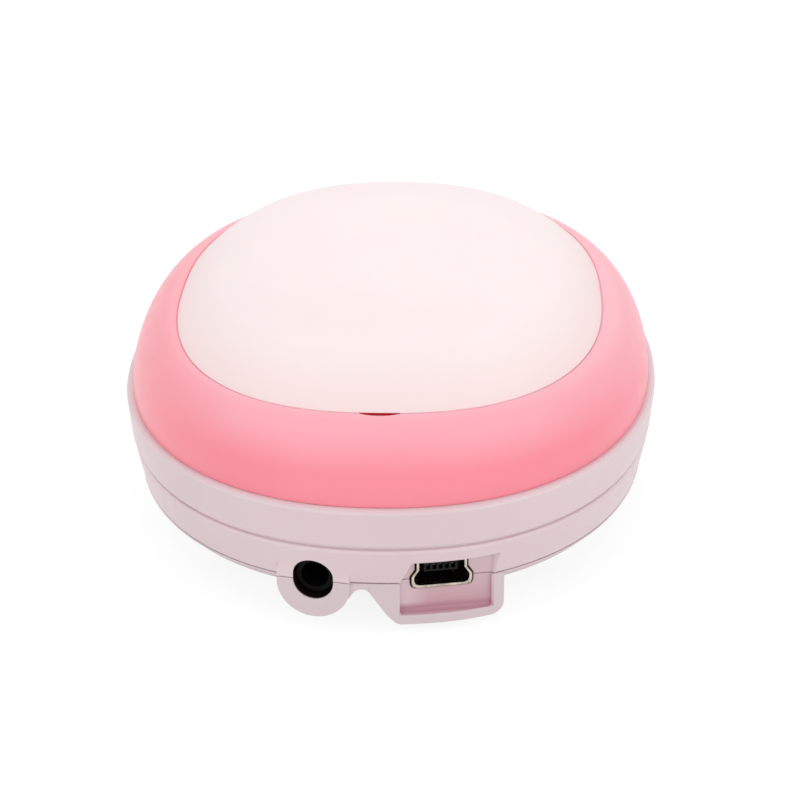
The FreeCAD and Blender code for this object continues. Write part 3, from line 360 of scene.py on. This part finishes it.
def moulded(name, roughness, coat=0.0, grain=0.04, index=1.49, glow=0.0):
    """A plastic surface that still wants its colour: uneven gloss and a fine moulded grain."""
    make = Maker(name)
    low, high = (roughness * share for share in PLASTIC_GLOSS)
    make.drive("Roughness", make.spread(make.noise(GLOSS_SCALE, detail=4), low, high))
    make.set(IOR=index, Coat_Weight=coat, Coat_Roughness=COAT_ROUGHNESS)
    if glow:
        make.set(Subsurface_Weight=glow, Subsurface_Radius=GLOW_RADIUS)
        make.set(Subsurface_Scale=GLOW_SCALE)
    if grain:
        make.bump(make.noise(GRAIN_SCALE, detail=2), grain, GRAIN_HEIGHT)
    return make


def plastic(name, colours, roughness, **values):
    """Moulded plastic in two near tones."""
    make = moulded(name, roughness, **values)
    make.drive("Base Color", make.drift(colours))
    return make


def metal(name, colour, roughness, stretch=None):
    """Rolled or plated metal with fine streaks."""
    make = Maker(name)
    streaks = make.noise(STREAK_SCALE, detail=4, roughness=0.6, stretch=stretch)
    dark = tuple(channel * STREAK_DARK for channel in colour)
    make.drive("Base Color", make.blend(make.spread(streaks, 0, 1), colour, dark))
    low, high = (roughness * share for share in METAL_GLOSS)
    make.drive("Roughness", make.spread(streaks, low, high))
    make.set(Metallic=1.0)
    make.bump(streaks, STREAK_STRENGTH, STREAK_HEIGHT)
    return make


def white_shell(name, colours):
    """The shells' pearly white, with painted shade that makes it darker and pinker in the socket's
    pocket, painted light on the pocket's left wall, and black painted shade inside the jack's hole.
    """
    make = moulded(name, roughness=0.4, coat=0.05, grain=0.03, glow=0.05)
    across, inwards, up = make.seen_from(USB_PLACE, SOCKET_TURN)
    # Where shade is painted in the socket's pocket.
    pocket = make.inside((across, *POCKET_ACROSS), (up, *POCKET_UP))
    pocket = make.both(pocket, make.spread(inwards, 1, 0, *POCKET_ENDS))
    pocket = make.both(pocket, make.spread(inwards, 0, 1, *POCKET_BEGINS))
    # Painted shade on the pocket's walls, paler higher up, with painted light on the left wall.
    wall = make.blend(make.spread(up, 0, 1, *POCKET_SHADE_LIFT), *POCKET_SHADED_WALLS)
    wall = make.blend(make.spread(across, 1, 0, *POCKET_LEFT_LIGHT_SPAN), wall, POCKET_LIT_LEFT_WALL)
    tone = make.blend(pocket, make.drift(colours), wall)
    # Painted shade, darkest and pinkest on the pocket's floor.
    floor = make.both(pocket, make.spread(up, 1, 0, *POCKET_SHADE))
    tone = make.blend(floor, tone, POCKET_SHADED_FLOOR)
    across, inwards, up = make.seen_from(JACK_PLACE, -SOCKET_TURN)
    # Black painted shade inside the jack's hole.
    hole = make.inside((across, *JACK_ACROSS), (up, *JACK_UP), (inwards, *JACK_INWARDS))
    make.drive("Base Color", make.blend(hole, tone, JACK_HOLE_SHADE))
    return make


def pink_ring():
    """The ring's translucent pink, paler towards the dome with painted light, deeper on its left
    side with painted shade, and deep red with painted shade in the pry notch.
    """
    make = moulded("ring_pink", roughness=0.34, coat=0.15, grain=0.02, glow=0.1)
    across, along, up = make.parts(make.coordinates)
    tone = make.drift(RING_PINK, RING_DRIFT_SCALE)
    # Painted light: the ring is paler towards its top.
    tone = make.blend(make.spread(up, 0, 1, *RING_TOP_LIGHT_SPAN), tone, RING_TOP_LIT_PINK)
    # Painted shade: the ring's left side is a deeper pink.
    tone = make.blend(make.spread(across, 1, 0, *RING_SHADED_SIDE_SPAN), tone, RING_SHADED_SIDE_PINK)
    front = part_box("battery_cover")[0][1]
    # Painted shade, deep red, in the pry notch below its top.
    notch = make.inside(
        (along, front - COVER_GAP - NOTCH_DEPTH - COVER_ROUND, front),
        (across, -NOTCH_HALF, NOTCH_HALF),
        (up, COVER_SEAM - NOTCH_DROP, COVER_SEAM - NOTCH_SHADE_TOP, NOTCH_SHADE_SOFT),
    )
    make.drive("Base Color", make.blend(notch, tone, NOTCH_SHADE_RED))
    return make


def pearl():
    """The dome's pearly white, with painted shade that makes it pinker and darker at its foot, and
    deep red painted shade where the notch bares its edge.
    """
    make = moulded("dome_pearl_white", roughness=0.46, grain=0.02, glow=0.08)
    across, along, up = make.parts(make.coordinates)
    # Painted shade: the dome is pinker and darker towards its foot.
    foot = make.spread(up, 1, 0, COVER_SEAM, COVER_SEAM + DOME_SHADE_RISE)
    tone = make.blend(foot, make.drift(PEARL_WHITE), DOME_FOOT_SHADE)
    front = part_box("battery_cover")[0][1]
    # Painted shade, deep red, on the cover's edge behind the notch.
    edge_shade = make.inside(
        (across, -BARED_SHADE_HALF, BARED_SHADE_HALF),
        (up, COVER_SEAM - BARED_SHADE_LOW, COVER_SEAM - BARED_SHADE_TOP, BARED_SHADE_SOFT),
        (along, front - COVER_GAP, front + BARED_SHADE_INWARDS),
    )
    make.drive("Base Color", make.blend(edge_shade, tone, BARED_EDGE_SHADE_RED))
    return make


def foam():
    """Grey open foam with small cells."""
    make = plastic("foam_grey", ((74, 74, 78), (62, 62, 66)), roughness=0.95, grain=0)
    make.set(Sheen_Weight=0.3)
    cells = make.node("ShaderNodeTexVoronoi", Scale=CELL_SCALE)
    make.join(make.coordinates, cells.inputs["Vector"])
    make.bump(cells.outputs["Distance"], CELL_STRENGTH, CELL_HEIGHT)
    return make


def board():
    """Green solder mask over fine tracks."""
    make = moulded("board_green", roughness=0.3, coat=0.3, grain=0.02)
    tracks = make.node("ShaderNodeTexBrick", Scale=TRACK_SCALE, Mortar_Size=TRACK_GAP)
    make.join(make.coordinates, tracks.inputs["Vector"])
    make.drive("Base Color", make.blend(tracks.outputs["Fac"], (20, 86, 50), (44, 128, 78)))
    return make


def battery_jacket():
    """A plain printed steel jacket: dark with a copper band at the terminal end."""
    make = moulded("battery_jacket", roughness=0.28, coat=0.5, grain=0.02)
    along = make.parts(make.coordinates)["Y"]
    edge = make.spread(along, 0, 1, *BATTERY_BAND)
    make.drive("Base Color", make.blend(edge, (38, 38, 42), (186, 116, 66)))
    make.set(Metallic=0.35)
    return make


def lens():
    """The clear green end of the light pipe."""
    colours = ((150, 226, 160), (140, 220, 152))
    make = plastic("lens_green", colours, roughness=0.12, coat=0.4, grain=0.01)
    make.set(Transmission_Weight=0.5)
    return make


def paint(item, make):
    """Gives an object one material."""
    item.data.materials.clear()
    item.data.materials.append(make.material)


def dress(make, *names):
    """Gives CAD nodes a material."""
    for name in names:
        paint(nodes[name], make)


def dress_all():
    """Gives every CAD node its finish, apart from those that a finer piece stands for."""
    jack = ((4, 3, 4), (7, 6, 7))
    insert = ((11, 10, 11), (16, 15, 16))
    tray = ((232, 226, 226), (226, 219, 220))
    snap = ((26, 26, 27), (33, 32, 33))
    black_lead = ((18, 18, 18), (26, 26, 26))
    red_lead = ((176, 24, 24), (160, 18, 20))
    wheel = ((206, 190, 194), (198, 182, 186))
    lamp_white = ((240, 238, 228), (232, 230, 218))
    probe = ((236, 228, 228), (231, 222, 223))
    seal = ((60, 58, 60), (70, 68, 70))
    crystal = ((200, 186, 150), (186, 172, 138))
    backing = ((52, 46, 44), (66, 58, 54))
    coax = ((120, 120, 122), (108, 108, 110))
    chip = ((28, 28, 29), (36, 36, 36))

    dress(white_shell("shell_white", SHELL_WHITE), "top_shell", "mid_shell")
    dress(plastic("jack_black", jack, roughness=0.55, grain=0.03, index=1.2), "headphone_jack")
    dress(metal("socket_plate", (226, 214, 198), roughness=0.22, stretch=(1, 6, 1)), "usb_shell")
    dress(plastic("insert_black", insert, roughness=0.5, grain=0.05, index=1.3), "usb_insert")
    dress(metal("contact_plate", (112, 104, 92), roughness=0.4), "usb_contacts")

    dress(plastic("tray_white", tray, roughness=0.5, grain=0.08), "battery_tray")
    dress(battery_jacket(), "battery_case")
    dress(metal("terminal_steel", (205, 203, 200), roughness=0.25), "battery_stud", "battery_cup")
    dress(plastic("snap_black", snap, roughness=0.5, grain=0.15), "battery_snap")
    dress(plastic("lead_black", black_lead, roughness=0.42, grain=0.03), "battery_lead_black")
    dress(plastic("lead_red", red_lead, roughness=0.42, grain=0.03), "battery_lead_red")

    dress(board(), "main_board")
    package = plastic("chip_black", chip, roughness=0.55, grain=0.3)
    dress(package, "processor_chip", "amplifier_chip")
    dress(metal("capacitor_metal", (200, 202, 206), roughness=0.3), "board_capacitors")
    dress(metal("pot_steel", (186, 186, 188), roughness=0.35), "volume_pot", "clock_chip")
    dress(plastic("wheel_grey", wheel, roughness=0.5, grain=0.12), "volume_wheel")
    dress(lens(), "power_lamp_lens")
    dress(plastic("lamp_white", lamp_white, roughness=0.3), "power_led")

    dress(plastic("probe_white", probe, roughness=0.25, coat=0.3, grain=0.02), "probe_face")
    dress(plastic("seal_rubber", seal, roughness=0.7, grain=0.2), "probe_seal")
    ceramic = plastic("crystal_ceramic", crystal, roughness=0.6, grain=0.2)
    dress(ceramic, "crystal_transmit", "crystal_receive")
    dress(plastic("backing_resin", backing, roughness=0.6, grain=0.3), "crystal_backing")
    dress(metal("can_brass", (206, 176, 112), roughness=0.35), "probe_can")
    dress(plastic("coax_grey", coax, roughness=0.5), "probe_lead_receive", "probe_lead_transmit")


# ---------------------------------------------------------------- shapes


def add(name, data):
    """Puts a new object in the scene."""
    item = bpy.data.objects.new(name, data)
    bpy.context.scene.collection.objects.link(item)
    return item


def copy_of(node, name):
    """A new piece with a solid's own mesh."""
    return add(name, nodes[node].data.copy())


def grown(plan, distance):
    """A plan of (half width, half depth, power), larger all round by a distance."""
    return (plan[0] + distance, plan[1] + distance, plan[2])


def plan_of(node, power):
    """The plan that a node fills, from its box."""
    low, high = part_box(node)
    return ((high[0] - low[0]) / 2, (high[1] - low[1]) / 2, power)


def loop(plan, height, count=AROUND, centre=(0, 0)):
    """A closed row of points on a superellipse."""
    half_width, half_depth, power = plan
    row = []
    for step in range(count):
        angle = 2 * math.pi * step / count
        across = math.cos(angle)
        along = math.sin(angle)
        total = abs(across / half_width) ** power + abs(along / half_depth) ** power
        reach = total ** (-1 / power)
        row.append((centre[0] + reach * across, centre[1] + reach * along, height))
    return row


def skin(name, rows, hollow=False):
    """A mesh object through rows of points; a hollow one closes on itself, another has two ends."""
    count = len(rows[0])
    points = [point for row in rows for point in row]
    faces = []
    for index in range(len(rows) if hollow else len(rows) - 1):
        here = index * count
        there = (index + 1) % len(rows) * count
        for step in range(count):
            after = (step + 1) % count
            faces.append((here + step, here + after, there + after, there + step))
    if not hollow:
        faces.append(tuple(reversed(range(count))))
        faces.append(tuple(range(len(points) - count, len(points))))
    mesh = bpy.data.meshes.new(name)
    mesh.from_pydata(points, [], faces)
    piece = add(name, mesh)
    smooth(piece)
    return piece


def smooth(piece):
    """Smooth shading, with the real edges kept crisp."""
    piece.data.shade_smooth()
    piece.data.set_sharp_from_angle(angle=CRISP_ANGLE)


def settle(piece):
    """Makes what a piece's modifiers give its own mesh."""
    result = piece.evaluated_get(bpy.context.evaluated_depsgraph_get())
    piece.data = bpy.data.meshes.new_from_object(result)
    piece.modifiers.clear()


def cut(piece, tool, operation="DIFFERENCE"):
    """Takes a tool's shape out of a piece, or adds it, and removes the tool."""
    modifier = piece.modifiers.new("cut", "BOOLEAN")
    modifier.operation = operation
    modifier.solver = "EXACT"
    modifier.object = tool
    settle(piece)
    bpy.data.objects.remove(tool)
    smooth(piece)


def drill(piece, plan, heights, count, centre):
    """Cuts an upright hole between two heights."""
    cut(piece, skin("drill", [loop(plan, height, count, centre) for height in heights]))


def stand_for(piece, node, body, make):
    """Puts a finished piece in the place of a solid."""
    paint(piece, make)
    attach(piece, body)
    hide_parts(node)


# ---------------------------------------------------------------- dome and ring


def crown_rows(plan, edge, top):
    """Rows from the rim of a dome to its middle."""
    rows = []
    for step in range(CROWN_ROWS + 1):
        share = 1 - CROWN_REACH * step / CROWN_ROWS
        height = edge + (top - edge) * (1 - share**CROWN_POWER)
        rows.append(loop((plan[0] * share, plan[1] * share, plan[2]), height))
    return rows


def foot_rows(plan, low, radius):
    """Rows round the small edge between an underside and the wall above it."""
    rows = []
    for step in range(ROUND_ROWS + 1):
        angle = math.pi / 2 * (step / ROUND_ROWS - 1)
        inset = radius * (1 - math.cos(angle))
        rows.append(loop(grown(plan, -inset), low + radius + radius * math.sin(angle)))
    return rows


def shoulder_rows(wide, narrow, low, high, angles):
    """Rows on a quarter of an ellipse between a wide plan below and a narrow one above."""
    rows = []
    for angle in angles:
        plan = [near + (far - near) * math.cos(angle) for far, near in zip(wide, narrow)]
        rows.append(loop(plan, low + (high - low) * math.sin(angle)))
    return rows


def make_dome():
    """The battery cover: a smooth pearly dome with its lip underneath."""
    low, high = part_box("battery_cover")
    plan = plan_of("battery_cover", COVER_POWER)
    lip = grown(plan, -LIP_INSET)
    inside = grown(lip, -LIP_THICKNESS)
    seat = COVER_SEAM - COVER_EDGE
    climb = (high[2] - COVER_SEAM) * (1 - (inside[0] / plan[0]) ** CROWN_POWER)
    rows = crown_rows(inside, COVER_SEAM - COVER_WALL + climb, high[2] - COVER_WALL)[::-1]
    rows += [loop(inside, low[2]), loop(lip, low[2]), loop(lip, seat)]
    rows += foot_rows(plan, seat, COVER_ROUND)
    rows += crown_rows(plan, COVER_SEAM, high[2])
    stand_for(skin("dome", rows), "battery_cover", "cover", pearl())


def make_ring():
    """The pink ring: a smooth shoulder round the dome, hollow underneath, with its pry notch."""
    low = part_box("trim_ring")[0][2]
    cover = plan_of("battery_cover", COVER_POWER)
    foot = plan_of("trim_ring", RIM_POWER)
    inside = grown(foot, -RING_WALL)
    opening = grown(cover, COVER_GAP)
    close = grown(cover, SEAM_FLOOR_GAP)
    crest = grown(cover, COLLAR_REACH)
    seat = COVER_SEAM - COVER_EDGE
    floor = COVER_SEAM - SEAM_DEPTH

    last = math.acos((COVER_GAP + COVER_ROUND) / (foot[0] - cover[0]))
    outwards = [last * step / TURN_ROWS for step in range(TURN_ROWS + 1)]
    inwards = [math.pi / 2 * (1 - step / TURN_ROWS) for step in range(1, TURN_ROWS)]
    rows = [loop(inside, low), loop(grown(foot, -RING_EDGE), low)]
    rows += shoulder_rows(foot, cover, low + RING_EDGE, COVER_SEAM, outwards)
    for step in range(1, ROUND_ROWS + 1):
        angle = math.pi / 2 * step / ROUND_ROWS
        plan = grown(opening, COVER_ROUND * (1 - math.sin(angle)))
        rows.append(loop(plan, COVER_SEAM - COVER_ROUND + COVER_ROUND * math.cos(angle)))
    rows += [loop(opening, floor), loop(close, floor), loop(close, seat), loop(crest, seat)]
    rows += shoulder_rows(inside, crest, low, seat, inwards)
    ring = skin("ring", rows, hollow=True)

    radius = (NOTCH_HALF**2 + NOTCH_DEPTH**2) / (2 * NOTCH_DEPTH)
    middle = (0, radius - NOTCH_DEPTH - opening[1])
    heights = (COVER_SEAM - NOTCH_DROP, COVER_SEAM + NOTCH_DROP)
    drill(ring, (radius, radius, CIRCLE_POWER), heights, AROUND, middle)
    stand_for(ring, "trim_ring", "housing", pink_ring())


# ---------------------------------------------------------------- base


def arch_side(slope, height):
    """How far one side of the arch is from its middle, with a slope below its round."""
    rise = height - ARCH_HEIGHT
    if rise > ARCH_RADIUS * math.cos(slope):
        return math.sqrt(max(ARCH_RADIUS**2 - rise**2, 0))
    return (ARCH_RADIUS - rise * math.cos(slope)) / math.sin(slope)


def arch_low(x):
    """How high the web's underside is, left of the arch and over its round."""
    away = ARCH_MIDDLE - x
    if away > ARCH_RADIUS * math.sin(ARCH_LEFT):
        sloped = (ARCH_RADIUS - away * math.sin(ARCH_LEFT)) / math.cos(ARCH_LEFT)
        return max(ARCH_HEIGHT + sloped, WEB_FOOT)
    return max(ARCH_HEIGHT + math.sqrt(ARCH_RADIUS**2 - away**2), WEB_FOOT)


def strip_side(height):
    """Where the strip's outside is along Y, beside the arch."""
    for (low, near), (high, far) in zip(STRIP_SIDE, STRIP_SIDE[1:]):
        if height <= high:
            return near + (far - near) * max(height - low, 0) / (high - low)
    return STRIP_SIDE[-1][1]


def arch_tool():
    """The block's corner that the arch takes away."""
    crest = ARCH_HEIGHT + ARCH_RADIUS
    rows = []
    for step in range(TURN_ROWS + 1):
        height = CUT_LOW + (crest - CUT_LOW) * math.sin(math.pi / 2 * step / TURN_ROWS)
        right = ARCH_MIDDLE + arch_side(ARCH_RIGHT, height)
        back = strip_side(height)
        corners = ((CUT_START, CUT_FRONT), (right, CUT_FRONT), (right, back), (CUT_START, back))
        rows.append([(x, y, height) for x, y in corners])
    return skin("arch_tool", rows)


def arch_web(plan):
    """The web that rounds the corner between the jack's boss and the socket's block."""
    half_width, half_depth, power = plan
    last = ARCH_MIDDLE + ARCH_RADIUS * math.sin(ARCH_RIGHT)
    rows = []
    for step in range(WEB_ROWS + 1):
        x = WEB_START + (last - WEB_START) * step / WEB_ROWS
        low = arch_low(x)
        front = -half_depth * (1 - (abs(x) / half_width) ** power) ** (1 / power)
        corners = ((front, low), (WEB_BACK, low), (WEB_BACK, WEB_TOP), (front, WEB_TOP))
        rows.append([(x, y, z) for y, z in corners])
    return skin("arch_web", rows)


def keep_shading(piece, source):
    """Gives the faces that lie on a solid's own faces the smooth normals that they had there."""
    mesh = piece.data
    points = [vertex.co for vertex in source.vertices]
    surface = BVHTree.FromPolygons(points, [face.vertices for face in source.polygons])
    normals = [corner.vector.copy() for corner in mesh.corner_normals]
    for face in mesh.polygons:
        for corner in face.loop_indices:
            vertex = mesh.vertices[mesh.loops[corner].vertex_index]
            spot = vertex.co.lerp(face.center, TOWARDS_CENTRE)
            place, normal, index, distance = surface.find_nearest(spot)
            there = source.polygons[index]
            alike = distance < TOUCHING and normal.dot(face.normal) > SAME_WAY
            if alike and there.area > TINY_AREA:
                corners = [points[item] for item in there.vertices]
                turns = [source.corner_normals[item].vector for item in there.loop_indices]
                normals[corner] = barycentric_transform(place, *corners, *turns).normalized()
    mesh.normals_split_custom_set(normals)


def make_base():
    """The base with the round arch between the jack's boss and the socket's block."""
    base = copy_of("bottom_shell", "base")
    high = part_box("bottom_shell")[1]
    cut(base, arch_tool())
    cut(base, arch_web((high[0], high[1], RIM_POWER)), "UNION")
    keep_shading(base, nodes["bottom_shell"].data)
    finish = white_shell("base_white", BASE_WHITE)
    stand_for(base, "bottom_shell", "housing", finish)


# ---------------------------------------------------------------- screws and foam


def circle(radius, height, centre):
    """A closed row of points round a screw."""
    return loop((radius, radius, CIRCLE_POWER), height, SCREW_AROUND, centre)


def make_screw(name, place, low, high):
    """One screw, head down, with a cross recess and a thread."""
    seat = low + SCREW_HEAD_HEIGHT
    pitch = (high - seat) / SCREW_TURNS
    rows = []
    for share, rise in HEAD_PROFILE:
        rows.append(circle(SCREW_HEAD * share, low + SCREW_HEAD_HEIGHT * rise, place))
    for turn in range(SCREW_TURNS):
        rows.append(circle(SCREW_SHANK * SCREW_ROOT, seat + pitch * turn, place))
        rows.append(circle(SCREW_SHANK, seat + pitch * (turn + 0.5), place))
    rows.append(circle(SCREW_SHANK * SCREW_TIP, high, place))
    screw = skin(name, rows)
    heights = (low - SCREW_HEAD_HEIGHT, low + SCREW_HEAD_HEIGHT * RECESS_DEPTH)
    for wide, deep in (RECESS_ARM, RECESS_ARM[::-1]):
        plan = (SCREW_HEAD * wide, SCREW_HEAD * deep, RECESS_POWER)
        drill(screw, plan, heights, RECESS_AROUND, place)
    return screw


def make_screws():
    """The four housing screws with domed heads, cross recesses and threads."""
    low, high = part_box("housing_screws")
    finish = metal("screw_steel", (150, 150, 152), roughness=0.35)
    for side, x in (("left", low[0] + SCREW_HEAD), ("right", high[0] - SCREW_HEAD)):
        for end, y in (("front", low[1] + SCREW_HEAD), ("back", high[1] - SCREW_HEAD)):
            screw = make_screw(f"screw_{side}_{end}", (x, y), low[2], high[2])
            stand_for(screw, "housing_screws", "housing", finish)


def make_foam():
    """The foam pad glued under the cover, with soft edges."""
    pad = copy_of("battery_foam_pad", "foam_pad")
    remesh = pad.modifiers.new("remesh", "REMESH")
    remesh.mode = "VOXEL"
    remesh.voxel_size = FOAM_VOXEL
    pad.modifiers.new("smooth", "SMOOTH").iterations = FOAM_SMOOTHING
    settle(pad)
    pad.data.shade_smooth()
    stand_for(pad, "battery_foam_pad", "cover", foam())


# ---------------------------------------------------------------- camera, light, floor


def place_camera():
    """The photograph's view: a long lens, a little to the right and well above."""
    level = math.cos(CAMERA_ELEVATION)
    across = math.sin(CAMERA_AZIMUTH) * level
    along = -math.cos(CAMERA_AZIMUTH) * level
    direction = Vector((across, along, math.sin(CAMERA_ELEVATION)))
    data = bpy.data.cameras.new("camera")
    data.lens = CAMERA_LENS
    data.sensor_width = CAMERA_SENSOR
    data.shift_x, data.shift_y = CAMERA_SHIFT
    camera = add("camera", data)
    place = Matrix.Translation(CAMERA_AIM + direction * CAMERA_DISTANCE)
    turn = (-direction).to_track_quat("-Z", "Y").to_matrix().to_4x4()
    camera.matrix_world = place @ turn @ Matrix.Rotation(CAMERA_ROLL, 4, "Z")
    bpy.context.scene.camera = camera


def lamp(name, place, size, power):
    """A square soft lamp that faces the object."""
    data = bpy.data.lights.new(name, "AREA")
    data.size = size
    data.energy = power
    item = add(name, data)
    item.location = place
    item.rotation_euler = (LAMP_AIM - Vector(place)).to_track_quat("-Z", "Y").to_euler()


def seen_white(tree, surface, glow, share, end):
    """Puts a glow over a surface's own shading, for the camera, reflections and clear things."""
    path = tree.nodes.new("ShaderNodeLightPath")
    seen = path.outputs["Is Camera Ray"]
    for ray in ("Is Glossy Ray", "Is Transmission Ray"):
        seen = combine(tree, "MAXIMUM", seen, path.outputs[ray])
    mix = tree.nodes.new("ShaderNodeMixShader")
    tree.links.new(combine(tree, "MULTIPLY", seen, share), mix.inputs["Fac"])
    tree.links.new(surface.outputs[0], mix.inputs[1])
    tree.links.new(glow.outputs[0], mix.inputs[2])
    tree.links.new(mix.outputs[0], end.inputs["Surface"])


def make_floor():
    """A wide pale floor that looks white and keeps the object's shadow."""
    mesh = bpy.data.meshes.new("floor")
    reach = FLOOR_REACH
    corners = [(-reach, -reach, 0), (reach, -reach, 0), (reach, reach, 0), (-reach, reach, 0)]
    mesh.from_pydata(corners, [], [(0, 1, 2, 3)])
    floor = add("floor", mesh)
    floor.location.z = -FLOOR_DROP
    material = bpy.data.materials.new("floor_white")
    material.use_nodes = True
    tree = material.node_tree
    tree.nodes.remove(tree.nodes["Principled BSDF"])
    diffuse = tree.nodes.new("ShaderNodeBsdfDiffuse")
    fill(diffuse, {"Color": FLOOR_GREY})
    glow = tree.nodes.new("ShaderNodeEmission")
    fill(glow, {"Strength": FLOOR_GLOW})
    seen_white(tree, diffuse, glow, FLOOR_GLOW_SHARE, tree.nodes["Material Output"])
    mesh.materials.append(material)


def make_world():
    """Soft light from everywhere, white where the camera sees it."""
    world = bpy.data.worlds.new("world")
    bpy.context.scene.world = world
    world.use_nodes = True
    tree = world.node_tree
    soft = tree.nodes["Background"]
    fill(soft, {"Color": WHITE, "Strength": WORLD_LIGHT})
    white = tree.nodes.new("ShaderNodeBackground")
    fill(white, {"Color": WHITE, "Strength": 1.0})
    seen_white(tree, soft, white, 1.0, tree.nodes["World Output"])


def make_stage():
    """Floor, world and lamps."""
    make_floor()
    make_world()
    lamp("key", (-0.45, -0.42, 0.6), size=1.0, power=1.78)
    lamp("fill", (0.55, -0.4, 0.45), size=0.9, power=1.62)
    lamp("back", (0.05, 0.6, 0.55), size=0.9, power=1.1)
    bpy.context.scene.view_settings.view_transform = "Standard"


dress_all()
make_dome()
make_ring()
make_base()
make_screws()
make_foam()
place_camera()
make_stage()
